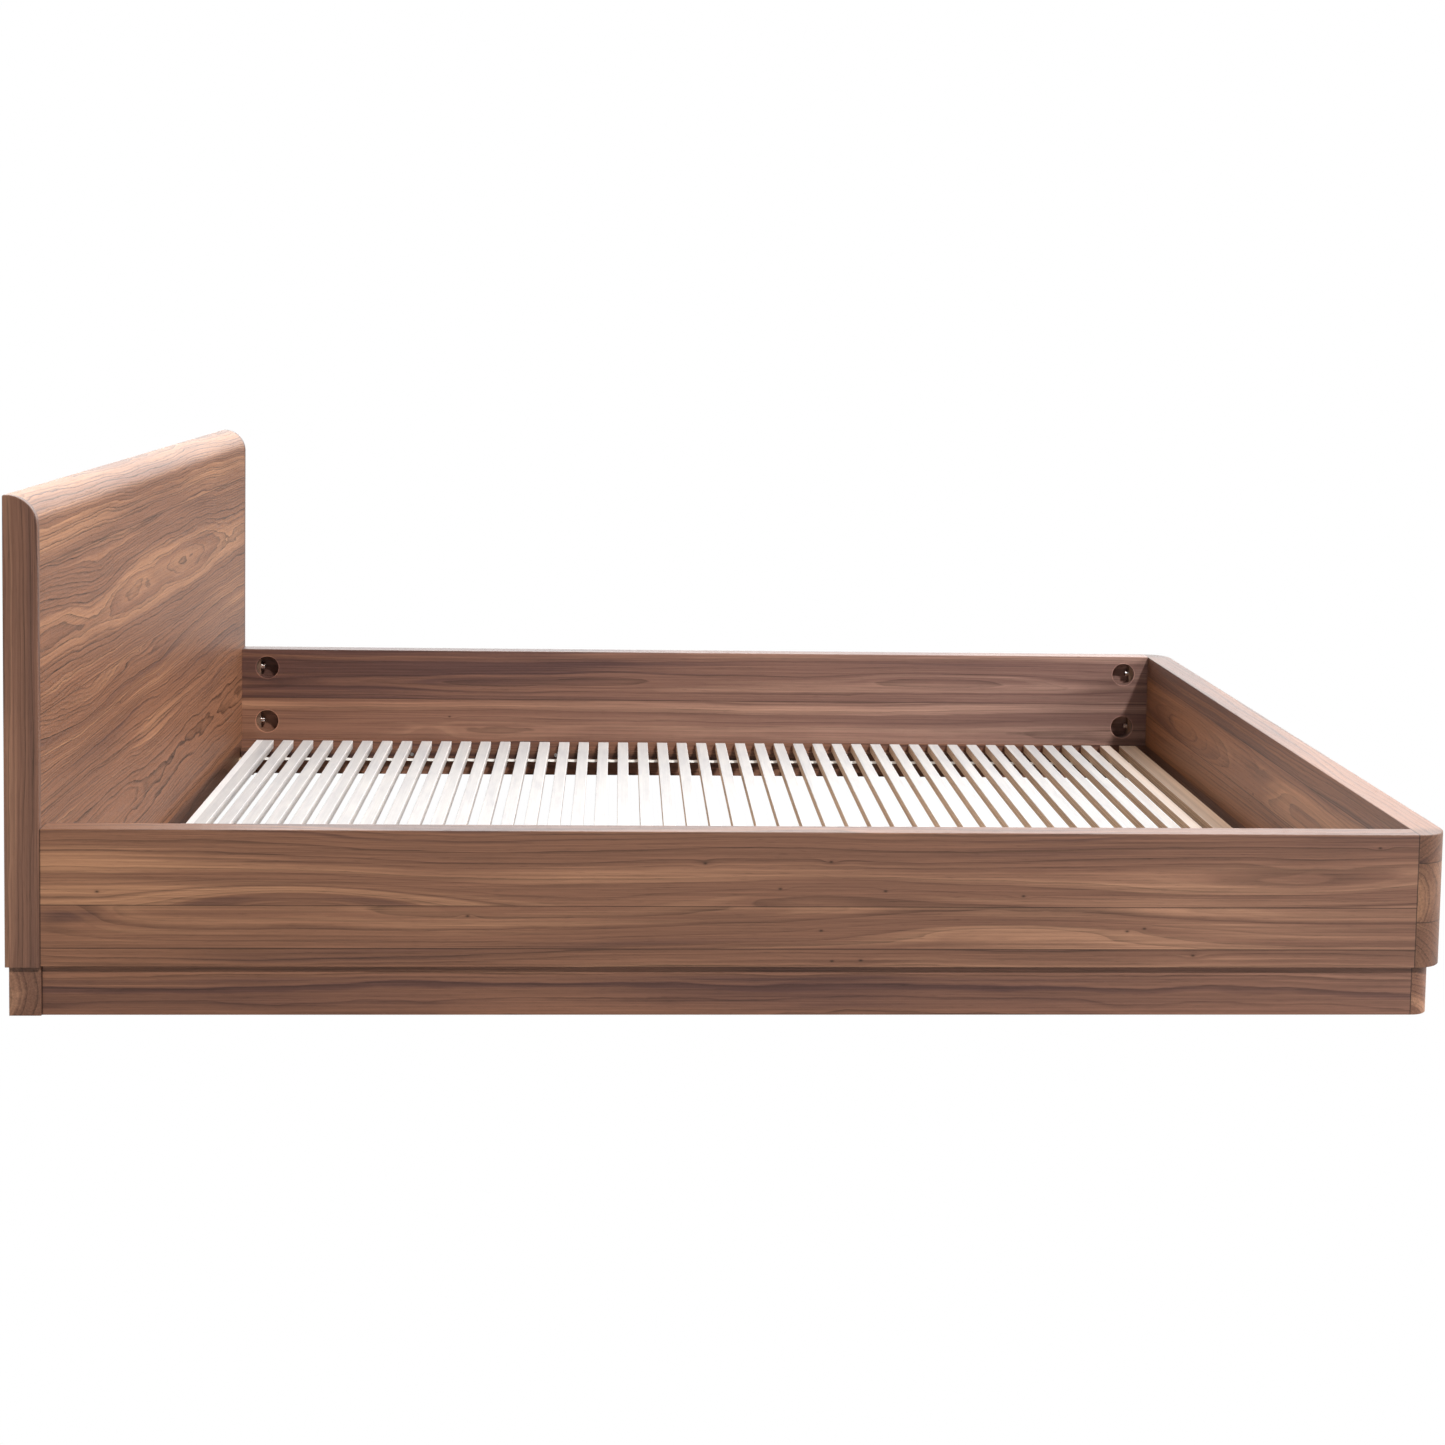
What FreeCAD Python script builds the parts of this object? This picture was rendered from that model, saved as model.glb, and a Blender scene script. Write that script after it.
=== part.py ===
import FreeCAD, Part
import math
import os

# Low platform bed in walnut: a thick headboard with a rounded top edge, a low
# footboard with rounded corners, two side rails, a set-back plinth that carries
# them, and a loose roll of pale slats strapped together on two webbings.
#
# Frame: X runs from the head (-X) to the foot (+X), Y across the bed, Z up.
# The origin is on the floor, under the middle of the bed.
# Left is the -Y side. All sizes are in millimetres.

# Space for the mattress
inner_length = 2045.0
inner_width = 1544.0

# Headboard
headboard_thickness = 50.0
headboard_top = 766.0
headboard_overhang = 2.0
headboard_drop = 1.5
headboard_top_radius = 45.0
headboard_back_radius = 3.0
lipping_thickness = 12.0

# Footboard and side rails
footboard_thickness = 50.0
footboard_corner_radius = 45.0
rail_thickness = 38.0
rail_height = 203.0
arris_radius = 1.5

# Plinth under the boards and rails
plinth_height = 76.0
plinth_thickness = 32.0
side_plinth_setback = 10.0
head_plinth_setback = 4.0
head_plinth_overhang = 4.0
foot_plinth_corner_radius = 30.0

# Slat roll
slat_end_clearance = 6.0
slat_width = 23.0
slat_thickness = 18.0
end_slat_width = 38.0
narrow_slat_count = 43
head_gap = 34.0
foot_gap = 25.0
slat_edge_radius = 1.2
strap_width = 22.0
strap_thickness = 1.6
strap_inset = 93.0

# Supports under the slats
ledger_width = 20.0
ledger_height = 18.0
ledger_end_gap = 3.0
beam_width = 60.0
beam_height = 38.0
hanger_sheet = 2.0
hanger_reach = 40.0
hanger_wing = 26.0
hanger_side_clearance = 0.3

# Rail bolts in their round pockets
pocket_radius = 25.0
pocket_centre_from_end = 56.0
pocket_floor_clearance = 1.0
upper_bolt_drop = 41.0
lower_bolt_rise = 41.0
bolt_radius = 4.0
bolt_hole_radius = 4.5
bolt_grip_in_board = 22.0
bolt_head_radius = 6.5
bolt_head_length = 8.0
bolt_socket_across_flats = 6.0
bolt_socket_depth = 4.0
washer_thickness = 9.0
washer_half_width = 8.0
insert_radius = 6.0
insert_length = 24.0

# Dowels
dowel_radius = 5.0
rail_dowel_in_rail = 30.0
rail_dowel_in_board = 25.0
rail_dowel_spread = 45.0
plinth_dowel_half_length = 20.0
side_plinth_dowel_count = 4
side_plinth_dowel_spacing = 500.0
end_plinth_dowel_count = 4
end_plinth_dowel_spacing = 400.0

# Wood screws
screw_radius = 2.0
screw_head_radius = 4.0
screw_head_height = 2.6
screw_tip_length = 4.0
screw_grip = 15.0
pan_head_height = 2.4
hanger_screw_length = 24.0
ledger_screw_count = 7
ledger_screw_end_distance = 60.0

# Corner blocks inside the plinth
block_side = 32.0
block_floor_gap = 3.0
block_ledger_gap = 2.0
block_screw_edge_distance = 11.0

# Levelling feet under the centre beam
leveller_count = 3
leveller_spacing = 600.0
pad_radius = 20.0
pad_height = 10.0
pad_neck_radius = 11.0
pad_edge_height = 5.0
pad_bore_depth = 7.0
stem_radius = 4.0
stem_reach_in_insert = 24.0
stem_collar_radius = 5.5
stem_collar_height = 1.2
stem_collar_low = 4.4
hex_across_flats = 13.0
hex_low = 10.6
hex_height = 5.0
leveller_insert_length = 30.0

# Fits
fit_clearance = 0.05
axial_clearance = 0.3

# Places worked out from the sizes above
total_length = headboard_thickness + inner_length + footboard_thickness
back_x = -total_length / 2
head_x = back_x + headboard_thickness
foot_x = head_x + inner_length
front_x = foot_x + footboard_thickness
middle_x = (head_x + foot_x) / 2
rail_inner_y = inner_width / 2
rail_outer_y = rail_inner_y + rail_thickness
rail_middle_y = rail_inner_y + rail_thickness / 2
rail_top = plinth_height + rail_height
headboard_half_width = rail_outer_y + headboard_overhang
headboard_bottom = plinth_height - headboard_drop
side_plinth_outer_y = rail_outer_y - side_plinth_setback
side_plinth_inner_y = side_plinth_outer_y - plinth_thickness
slat_bottom = plinth_height - slat_thickness
slat_half_length = side_plinth_inner_y - slat_end_clearance
ledger_bottom = slat_bottom - ledger_height
beam_bottom = slat_bottom - beam_height
pocket_depth = rail_thickness / 2 + washer_half_width + pocket_floor_clearance
bolt_heights = (rail_top - upper_bolt_drop, plinth_height + lower_bolt_rise)
seat_distance = pocket_centre_from_end - pocket_radius + washer_thickness
roll_length = inner_length - head_gap - foot_gap
slat_gap = (roll_length - 2 * end_slat_width - narrow_slat_count * slat_width) / (narrow_slat_count + 1)

X_AXIS = FreeCAD.Vector(1, 0, 0)
Y_AXIS = FreeCAD.Vector(0, 1, 0)
Z_AXIS = FreeCAD.Vector(0, 0, 1)

# The two ends of the bed: (plane that the rails meet, way out along X)
ENDS = ((head_x, -1), (foot_x, 1))
SIDES = (-1, 1)


def block(x0, x1, y0, y1, z0, z1):
    """A box between two corners, given in any order."""
    low = FreeCAD.Vector(min(x0, x1), min(y0, y1), min(z0, z1))
    return Part.makeBox(abs(x1 - x0), abs(y1 - y0), abs(z1 - z0), low)


def rod(radius, start, axis, length):
    return Part.makeCylinder(radius, length, start, axis)


def prism(across_flats, start, axis, length):
    """A hexagonal prism from start along axis."""
    hexagon = Part.makePolygon([
        FreeCAD.Vector(
            across_flats / math.sqrt(3) * math.cos(math.radians(60 * corner)),
            across_flats / math.sqrt(3) * math.sin(math.radians(60 * corner)),
            0,
        )
        for corner in range(7)
    ])
    solid = Part.Face(hexagon).extrude(Z_AXIS * length)
    solid.Placement = FreeCAD.Placement(start, FreeCAD.Rotation(Z_AXIS, axis))
    return solid


def round_edges(shape, radius, wanted):
    return shape.makeFillet(radius, [edge for edge in shape.Edges if wanted(edge)])


def at_height(z):
    """Picks the edges that lie wholly at one height."""
    return lambda edge: all(abs(vertex.Z - z) < 1e-6 for vertex in edge.Vertexes)


def wood_screw(length, start, axis, clearance=0.0):
    """A countersunk screw: start is the middle of its flat head."""
    head = Part.makeCone(
        screw_head_radius + clearance, screw_radius + clearance, screw_head_height, start, axis
    )
    shank = rod(screw_radius + clearance, start, axis, length - screw_tip_length + clearance)
    tip = Part.makeCone(
        screw_radius + clearance,
        clearance,
        screw_tip_length,
        start + axis * (length - screw_tip_length + clearance),
        axis,
    )
    return head.fuse(shank).fuse(tip).removeSplitter()


def pan_screw(length, start, axis, clearance=0.0):
    """A pan-head screw: start is under the head, which stands against the axis."""
    shank = rod(screw_radius + clearance, start, axis, length - screw_tip_length + clearance)
    tip = Part.makeCone(
        screw_radius + clearance,
        clearance,
        screw_tip_length,
        start + axis * (length - screw_tip_length + clearance),
        axis,
    )
    head = rod(screw_head_radius, start - axis * pan_head_height, axis, pan_head_height)
    return head.fuse(shank).fuse(tip).removeSplitter()


def cut_all(shape, tools):
    return shape.cut(Part.makeCompound(tools)) if tools else shape


def evenly(count, spacing):
    """Places of count things, spacing apart, about zero."""
    return [(index - (count - 1) / 2) * spacing for index in range(count)]


# ---------------------------------------------------------------- fasteners

def rail_joints():
    """Every rail end: the plane, the way out along X, and the side."""
    return [(plane, out, side) for plane, out in ENDS for side in SIDES]


def bolt_axis(plane, out, side, height):
    """The point where a rail bolt crosses from rail to board, and its direction."""
    return FreeCAD.Vector(plane, side * rail_middle_y, height), X_AXIS * out


def make_rail_bolts():
    bolts = []
    for plane, out, side in rail_joints():
        for height in bolt_heights:
            point, axis = bolt_axis(plane, out, side, height)
            seat = point - axis * seat_distance
            shank = rod(bolt_radius, seat, axis, seat_distance + bolt_grip_in_board)
            head = rod(bolt_head_radius, seat - axis * bolt_head_length, axis, bolt_head_length)
            socket = prism(
                bolt_socket_across_flats, seat - axis * bolt_head_length, axis, bolt_socket_depth
            )
            bolts.append(head.cut(socket).fuse(shank).removeSplitter())
    return bolts


def make_rail_bolt_washers():
    """Half-moon washers: flat under the bolt head, round against the pocket wall."""
    washers = []
    for plane, out, side in rail_joints():
        for height in bolt_heights:
            point, axis = bolt_axis(plane, out, side, height)
            centre = point - axis * pocket_centre_from_end
            disc = rod(
                pocket_radius - fit_clearance,
                centre - Y_AXIS * washer_half_width,
                Y_AXIS,
                2 * washer_half_width,
            )
            flat = point - axis * seat_distance
            keep = block(
                flat.x,
                flat.x + out * 2 * pocket_radius,
                flat.y - washer_half_width,
                flat.y + washer_half_width,
                height - pocket_radius,
                height + pocket_radius,
            )
            hole = rod(bolt_hole_radius, flat - axis, axis, 2 * pocket_radius)
            washers.append(disc.common(keep).cut(hole))
    return washers


def make_rail_bolt_inserts():
    inserts = []
    for plane, out, side in rail_joints():
        for height in bolt_heights:
            point, axis = bolt_axis(plane, out, side, height)
            sleeve = rod(insert_radius, point, axis, insert_length)
            bore = rod(bolt_radius + fit_clearance, point, axis, insert_length)
            inserts.append(sleeve.cut(bore))
    return inserts


def rail_dowel_heights():
    middle = plinth_height + rail_height / 2
    return (middle - rail_dowel_spread / 2, middle + rail_dowel_spread / 2)


def make_rail_dowels(clearance=0.0):
    dowels = []
    for plane, out, side in rail_joints():
        for height in rail_dowel_heights():
            start = FreeCAD.Vector(
                plane - out * (rail_dowel_in_rail + clearance), side * rail_middle_y, height
            )
            length = rail_dowel_in_rail + rail_dowel_in_board + 2 * clearance
            dowels.append(rod(dowel_radius + clearance, start, X_AXIS * out, length))
    return dowels


def plinth_dowel_places():
    """The middle of each upright dowel, on the joint that it crosses."""
    side_y = (rail_inner_y + side_plinth_outer_y) / 2
    head_middle = (back_x + head_plinth_setback + head_x) / 2
    foot_middle = foot_x + plinth_thickness / 2
    places = []
    for side in SIDES:
        for along in evenly(side_plinth_dowel_count, side_plinth_dowel_spacing):
            places.append(FreeCAD.Vector(middle_x + along, side * side_y, plinth_height))
    for across in evenly(end_plinth_dowel_count, end_plinth_dowel_spacing):
        places.append(FreeCAD.Vector(head_middle, across, headboard_bottom))
        places.append(FreeCAD.Vector(foot_middle, across, plinth_height))
    return places


def make_plinth_dowels(clearance=0.0):
    half = plinth_dowel_half_length + clearance
    return [
        rod(dowel_radius + clearance, place - Z_AXIS * half, Z_AXIS, 2 * half)
        for place in plinth_dowel_places()
    ]


def make_ledger_screws(clearance=0.0):
    screws = []
    run = inner_length - 2 * ledger_screw_end_distance
    spacing = run / (ledger_screw_count - 1)
    height = ledger_bottom + ledger_height / 2
    for side in SIDES:
        for along in evenly(ledger_screw_count, spacing):
            start = FreeCAD.Vector(
                middle_x + along, side * (side_plinth_inner_y - ledger_width), height
            )
            screws.append(wood_screw(ledger_width + screw_grip, start, Y_AXIS * side, clearance))
    return screws


def make_corner_block_screws(clearance=0.0):
    """Two to a block: one into the side plinth, one into the head or foot plinth."""
    screws = []
    length = block_side + screw_grip
    for plane, out, side in rail_joints():
        block_middle_x = plane - out * block_side / 2
        block_middle_y = side * (side_plinth_inner_y - block_side / 2)
        into_side = FreeCAD.Vector(
            block_middle_x,
            side * (side_plinth_inner_y - block_side),
            block_floor_gap + block_screw_edge_distance,
        )
        into_end = FreeCAD.Vector(
            plane - out * block_side,
            block_middle_y,
            ledger_bottom - block_ledger_gap - block_screw_edge_distance,
        )
        screws.append(wood_screw(length, into_side, Y_AXIS * side, clearance))
        screws.append(wood_screw(length, into_end, X_AXIS * out, clearance))
    return screws


def make_hanger_screws(clearance=0.0):
    screws = []
    across = beam_width / 2 + hanger_side_clearance + hanger_sheet + hanger_wing / 2
    for plane, out in ENDS:
        for side in SIDES:
            for height in (beam_bottom + beam_height / 4, beam_bottom + 3 * beam_height / 4):
                start = FreeCAD.Vector(plane - out * hanger_sheet, side * across, height)
                screws.append(pan_screw(hanger_screw_length, start, X_AXIS * out, clearance))
    return screws


# ------------------------------------------------------------------- boards

def board_holes():
    """Blind holes in the headboard and footboard: for the inserts and the rail dowels."""
    holes = make_rail_dowels(fit_clearance)
    for plane, out, side in rail_joints():
        for height in bolt_heights:
            point, axis = bolt_axis(plane, out, side, height)
            depth = insert_length + fit_clearance
            holes.append(rod(insert_radius + fit_clearance, point, axis, depth))
    return holes


def headboard_slice(y0, y1):
    """The headboard's section, from y0 to y1: a big round on the inner top edge."""
    top_radius = min(headboard_top_radius, headboard_thickness - headboard_back_radius - 1.0)
    slant = math.sqrt(0.5)
    back_round = headboard_back_radius
    p0 = FreeCAD.Vector(back_x, y0, headboard_bottom)
    p1 = FreeCAD.Vector(back_x, y0, headboard_top - back_round)
    p2 = FreeCAD.Vector(
        back_x + back_round * (1 - slant), y0, headboard_top - back_round * (1 - slant)
    )
    p3 = FreeCAD.Vector(back_x + back_round, y0, headboard_top)
    p4 = FreeCAD.Vector(head_x - top_radius, y0, headboard_top)
    p5 = FreeCAD.Vector(
        head_x - top_radius * (1 - slant), y0, headboard_top - top_radius * (1 - slant)
    )
    p6 = FreeCAD.Vector(head_x, y0, headboard_top - top_radius)
    p7 = FreeCAD.Vector(head_x, y0, headboard_bottom)
    outline = Part.Wire([
        Part.makeLine(p0, p1),
        Part.Arc(p1, p2, p3).toShape(),
        Part.makeLine(p3, p4),
        Part.Arc(p4, p5, p6).toShape(),
        Part.makeLine(p6, p7),
        Part.makeLine(p7, p0),
    ])
    return Part.Face(outline).extrude(Y_AXIS * (y1 - y0))


def make_headboard_panel():
    half = headboard_half_width - lipping_thickness
    panel = headboard_slice(-half, half)
    return [cut_all(panel, board_holes() + make_plinth_dowels(fit_clearance))]


def make_headboard_lipping(side):
    """The upright strip that closes one end of the headboard."""
    inner = side * (headboard_half_width - lipping_thickness)
    outer = side * headboard_half_width
    strip = headboard_slice(min(inner, outer), max(inner, outer))
    strip = round_edges(
        strip,
        arris_radius,
        lambda edge: all(abs(vertex.Y - outer) < 1e-6 for vertex in edge.Vertexes)
        and not at_height(headboard_bottom)(edge),
    )
    return [cut_all(strip, board_holes())]


def make_footboard_panel():
    radius = min(footboard_corner_radius, footboard_thickness - 1.0)
    panel = block(foot_x, front_x, -rail_outer_y, rail_outer_y, plinth_height, rail_top)
    panel = round_edges(
        panel,
        radius,
        lambda edge: all(abs(vertex.X - front_x) < 1e-6 for vertex in edge.Vertexes)
        and abs(edge.Vertexes[0].Z - edge.Vertexes[1].Z) > 1.0,
    )
    panel = round_edges(panel, arris_radius, at_height(rail_top))
    return [cut_all(panel, board_holes() + make_plinth_dowels(fit_clearance))]


def make_side_rail(side):
    rail = block(head_x, foot_x, side * rail_inner_y, side * rail_outer_y, plinth_height, rail_top)
    rail = round_edges(
        rail,
        arris_radius,
        lambda edge: at_height(rail_top)(edge) and edge.Length > inner_length - 1.0,
    )
    cuts = make_rail_dowels(fit_clearance) + make_plinth_dowels(fit_clearance)
    for plane, out in ENDS:
        for height in bolt_heights:
            point, axis = bolt_axis(plane, out, side, height)
            middle = point - axis * pocket_centre_from_end
            cuts.append(rod(bolt_hole_radius, middle, axis, pocket_centre_from_end))
            mouth = FreeCAD.Vector(
                plane - out * pocket_centre_from_end, side * rail_inner_y, height
            )
            cuts.append(rod(pocket_radius, mouth, Y_AXIS * side, pocket_depth))
    return [cut_all(rail, cuts)]


def make_side_plinth(side):
    """A long board on edge, set back under the rail."""
    board = block(
        head_x, foot_x, side * side_plinth_inner_y, side * side_plinth_outer_y, 0, plinth_height
    )
    cuts = make_plinth_dowels(fit_clearance)
    cuts += make_ledger_screws(fit_clearance)
    cuts += make_corner_block_screws(fit_clearance)
    return [cut_all(board, cuts)]


def make_head_plinth():
    half = side_plinth_outer_y + head_plinth_overhang
    board = block(back_x + head_plinth_setback, head_x, -half, half, 0, headboard_bottom)
    cuts = make_plinth_dowels(fit_clearance)
    cuts += make_corner_block_screws(fit_clearance)
    cuts += make_hanger_screws(fit_clearance)
    return [cut_all(board, cuts)]


def make_foot_plinth():
    radius = min(foot_plinth_corner_radius, plinth_thickness - 1.0)
    outer = foot_x + plinth_thickness
    board = block(foot_x, outer, -side_plinth_outer_y, side_plinth_outer_y, 0, plinth_height)
    board = round_edges(
        board,
        radius,
        lambda edge: all(abs(vertex.X - outer) < 1e-6 for vertex in edge.Vertexes)
        and abs(edge.Vertexes[0].Z - edge.Vertexes[1].Z) > 1.0,
    )
    cuts = make_plinth_dowels(fit_clearance)
    cuts += make_corner_block_screws(fit_clearance)
    cuts += make_hanger_screws(fit_clearance)
    return [cut_all(board, cuts)]


# -------------------------------------------------------- supports and slats

def make_ledger(side):
    """The cleat on the plinth's inner face that the slat ends rest on."""
    cleat = block(
        head_x + ledger_end_gap,
        foot_x - ledger_end_gap,
        side * (side_plinth_inner_y - ledger_width),
        side * side_plinth_inner_y,
        ledger_bottom,
        slat_bottom,
    )
    return [cut_all(cleat, make_ledger_screws(fit_clearance))]


def make_corner_blocks():
    blocks = []
    for plane, out, side in rail_joints():
        blocks.append(block(
            plane,
            plane - out * block_side,
            side * (side_plinth_inner_y - block_side),
            side * side_plinth_inner_y,
            block_floor_gap,
            ledger_bottom - block_ledger_gap,
        ))
    screws = make_corner_block_screws(fit_clearance)
    return [cut_all(one, screws) for one in blocks]


def leveller_places():
    return [middle_x + along for along in evenly(leveller_count, leveller_spacing)]


def make_centre_beam():
    beam = block(
        head_x + hanger_sheet,
        foot_x - hanger_sheet,
        -beam_width / 2,
        beam_width / 2,
        beam_bottom,
        slat_bottom,
    )
    cuts = []
    for x in leveller_places():
        start = FreeCAD.Vector(x, 0, beam_bottom)
        cuts.append(rod(
            insert_radius + fit_clearance, start, Z_AXIS, leveller_insert_length + fit_clearance
        ))
    return [cut_all(beam, cuts)]


def make_beam_hanger(plane, out):
    """A folded steel cradle, screwed to the plinth, that the beam drops into."""
    inner = beam_width / 2 + hanger_side_clearance
    outer = inner + hanger_sheet
    reach = plane - out * hanger_reach
    back = block(
        plane,
        plane - out * hanger_sheet,
        -(outer + hanger_wing),
        outer + hanger_wing,
        beam_bottom - hanger_sheet,
        slat_bottom,
    )
    floor = block(plane, reach, -outer, outer, beam_bottom - hanger_sheet, beam_bottom)
    cradle = back.fuse(floor)
    for side in SIDES:
        cheek = block(
            plane, reach, side * inner, side * outer, beam_bottom - hanger_sheet, slat_bottom
        )
        cradle = cradle.fuse(cheek)
    return [cut_all(cradle.removeSplitter(), make_hanger_screws(fit_clearance))]


def make_leveller_inserts():
    inserts = []
    for x in leveller_places():
        start = FreeCAD.Vector(x, 0, beam_bottom)
        sleeve = rod(insert_radius, start, Z_AXIS, leveller_insert_length)
        bore = rod(stem_radius + fit_clearance, start, Z_AXIS, leveller_insert_length)
        inserts.append(sleeve.cut(bore))
    return inserts


def make_leveller_pad(x):
    """The round foot: it holds the stem's collar, so that the stem turns in it."""
    base = rod(pad_radius, FreeCAD.Vector(x, 0, 0), Z_AXIS, pad_edge_height)
    shoulder = Part.makeCone(
        pad_radius,
        pad_neck_radius,
        pad_height - pad_edge_height,
        FreeCAD.Vector(x, 0, pad_edge_height),
        Z_AXIS,
    )
    bore_low = pad_height - pad_bore_depth
    bore = rod(
        stem_radius + fit_clearance, FreeCAD.Vector(x, 0, bore_low), Z_AXIS, pad_bore_depth
    )
    groove = rod(
        stem_collar_radius + fit_clearance,
        FreeCAD.Vector(x, 0, stem_collar_low - axial_clearance),
        Z_AXIS,
        stem_collar_height + 2 * axial_clearance,
    )
    return [base.fuse(shoulder).cut(bore.fuse(groove)).removeSplitter()]


def make_leveller_stem(x):
    """The threaded stem: a collar held in the pad, a hexagon to turn it, a shank."""
    foot = pad_height - pad_bore_depth + axial_clearance
    top = beam_bottom + stem_reach_in_insert
    shank = rod(stem_radius, FreeCAD.Vector(x, 0, foot), Z_AXIS, top - foot)
    collar = rod(
        stem_collar_radius, FreeCAD.Vector(x, 0, stem_collar_low), Z_AXIS, stem_collar_height
    )
    nut = prism(hex_across_flats, FreeCAD.Vector(x, 0, hex_low), Z_AXIS, hex_height)
    return [shank.fuse(collar).fuse(nut).removeSplitter()]


def make_slat(x0, width):
    slat = block(x0, x0 + width, -slat_half_length, slat_half_length, slat_bottom, plinth_height)
    return round_edges(
        slat, slat_edge_radius, lambda edge: edge.Length > 2 * slat_half_length - 1.0
    )


def narrow_slat_starts():
    first = head_x + head_gap + end_slat_width + slat_gap
    return [first + index * (slat_width + slat_gap) for index in range(narrow_slat_count)]


def make_strap(side):
    """The flat webbing under the slats that keeps them at their spacing."""
    middle = side * (slat_half_length - strap_inset - strap_width / 2)
    return [block(
        head_x + head_gap + end_slat_width / 4,
        foot_x - foot_gap - end_slat_width / 4,
        middle - strap_width / 2,
        middle + strap_width / 2,
        slat_bottom - strap_thickness,
        slat_bottom,
    )]


# ----------------------------------------------------------------- all nodes

def all_nodes():
    nodes = {
        "headboard_panel": make_headboard_panel(),
        "headboard_lipping_left": make_headboard_lipping(-1),
        "headboard_lipping_right": make_headboard_lipping(1),
        "footboard_panel": make_footboard_panel(),
        "left_side_rail": make_side_rail(-1),
        "right_side_rail": make_side_rail(1),
        "plinth_head": make_head_plinth(),
        "plinth_foot": make_foot_plinth(),
        "plinth_left": make_side_plinth(-1),
        "plinth_right": make_side_plinth(1),
        "left_slat_ledger": make_ledger(-1),
        "right_slat_ledger": make_ledger(1),
        "centre_beam": make_centre_beam(),
        "beam_hanger_head": make_beam_hanger(*ENDS[0]),
        "beam_hanger_foot": make_beam_hanger(*ENDS[1]),
        "rail_bolts": make_rail_bolts(),
        "rail_bolt_washers": make_rail_bolt_washers(),
        "rail_bolt_inserts": make_rail_bolt_inserts(),
        "rail_dowels": make_rail_dowels(),
        "plinth_dowels": make_plinth_dowels(),
        "corner_blocks": make_corner_blocks(),
        "corner_block_screws": make_corner_block_screws(),
        "ledger_screws": make_ledger_screws(),
        "hanger_screws": make_hanger_screws(),
        "leveller_inserts": make_leveller_inserts(),
        "left_slat_strap": make_strap(-1),
        "right_slat_strap": make_strap(1),
        "head_end_slat": [make_slat(head_x + head_gap, end_slat_width)],
        "foot_end_slat": [make_slat(foot_x - foot_gap - end_slat_width, end_slat_width)],
    }
    for index, x in enumerate(leveller_places(), start=1):
        nodes["leveller_pad_%d" % index] = make_leveller_pad(x)
        nodes["leveller_stem_%d" % index] = make_leveller_stem(x)
    starts = narrow_slat_starts()
    for first in range(0, narrow_slat_count, 2):
        pair = starts[first:first + 2]
        name = "slats_%02d" % (first // 2 + 1)
        nodes[name] = [make_slat(x, slat_width) for x in pair]
    return nodes


def write_node(name, solids):
    shape = solids[0] if len(solids) == 1 else Part.makeCompound(solids)
    shape.exportStep("parts/%s.step" % name)


os.makedirs("parts", exist_ok=True)
for node_name, node_solids in all_nodes().items():
    write_node(node_name, node_solids)
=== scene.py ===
"""The finished look of a low walnut platform bed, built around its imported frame."""
import math

import bmesh
import bpy
from mathutils import Matrix, Vector


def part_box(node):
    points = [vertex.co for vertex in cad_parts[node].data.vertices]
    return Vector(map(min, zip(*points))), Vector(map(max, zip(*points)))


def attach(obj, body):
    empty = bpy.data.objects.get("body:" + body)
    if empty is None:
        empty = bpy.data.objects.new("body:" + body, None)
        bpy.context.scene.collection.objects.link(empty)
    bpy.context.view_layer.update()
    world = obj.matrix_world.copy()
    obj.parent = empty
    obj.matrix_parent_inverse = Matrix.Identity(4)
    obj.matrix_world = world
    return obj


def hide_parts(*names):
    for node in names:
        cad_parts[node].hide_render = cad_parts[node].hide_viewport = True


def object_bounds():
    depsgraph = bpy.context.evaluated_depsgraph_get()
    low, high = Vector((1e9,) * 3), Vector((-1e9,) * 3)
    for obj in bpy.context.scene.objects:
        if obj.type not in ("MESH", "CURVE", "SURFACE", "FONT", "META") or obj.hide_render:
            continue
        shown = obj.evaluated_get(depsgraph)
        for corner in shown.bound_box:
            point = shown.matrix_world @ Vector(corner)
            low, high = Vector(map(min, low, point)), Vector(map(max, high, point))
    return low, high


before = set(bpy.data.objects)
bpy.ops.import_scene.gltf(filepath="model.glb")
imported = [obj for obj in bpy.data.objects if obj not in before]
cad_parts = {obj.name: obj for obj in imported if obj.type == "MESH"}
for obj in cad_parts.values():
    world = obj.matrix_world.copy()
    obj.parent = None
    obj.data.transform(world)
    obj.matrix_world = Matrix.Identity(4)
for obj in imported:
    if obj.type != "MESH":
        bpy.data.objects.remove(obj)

bl_info = {
    "name": "Walnut Platform Bed",
    "version": (1, 0, 0),
    "blender": (4, 5, 0),
    "location": "View3D > Sidebar > Bed",
    "description": "Finishes a walnut platform bed: timber, slats, webbing and hardware",
    "category": "Object",
}

# Places that the frame gives, in metres
BED_LOW = Vector(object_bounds()[0])
HEADBOARD_LOW, HEADBOARD_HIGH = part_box("headboard_panel")
FOOTBOARD_LOW, FOOTBOARD_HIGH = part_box("footboard_panel")
LEFT_RAIL_LOW, LEFT_RAIL_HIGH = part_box("left_side_rail")
LEFT_PLINTH_LOW, LEFT_PLINTH_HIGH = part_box("plinth_left")
HEAD_X = LEFT_RAIL_LOW[0]
FOOT_X = LEFT_RAIL_HIGH[0]
RAIL_INNER_FACE = abs(LEFT_RAIL_HIGH[1])
SLAT_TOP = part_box("head_end_slat")[1].z

# Sizes and places that no node's box gives, in metres
SLAT_PITCH = 0.0439318
FIRST_SLAT_EDGE = -0.92957
FOOT_SIDE_FROM = 0.0222
POCKET_RADIUS = 0.025
POCKET_INSET = 0.056
POCKETS = [
    (end * (FOOT_X - POCKET_INSET), height) for end in (-1, 1) for height in (0.238, 0.117)
]

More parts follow.
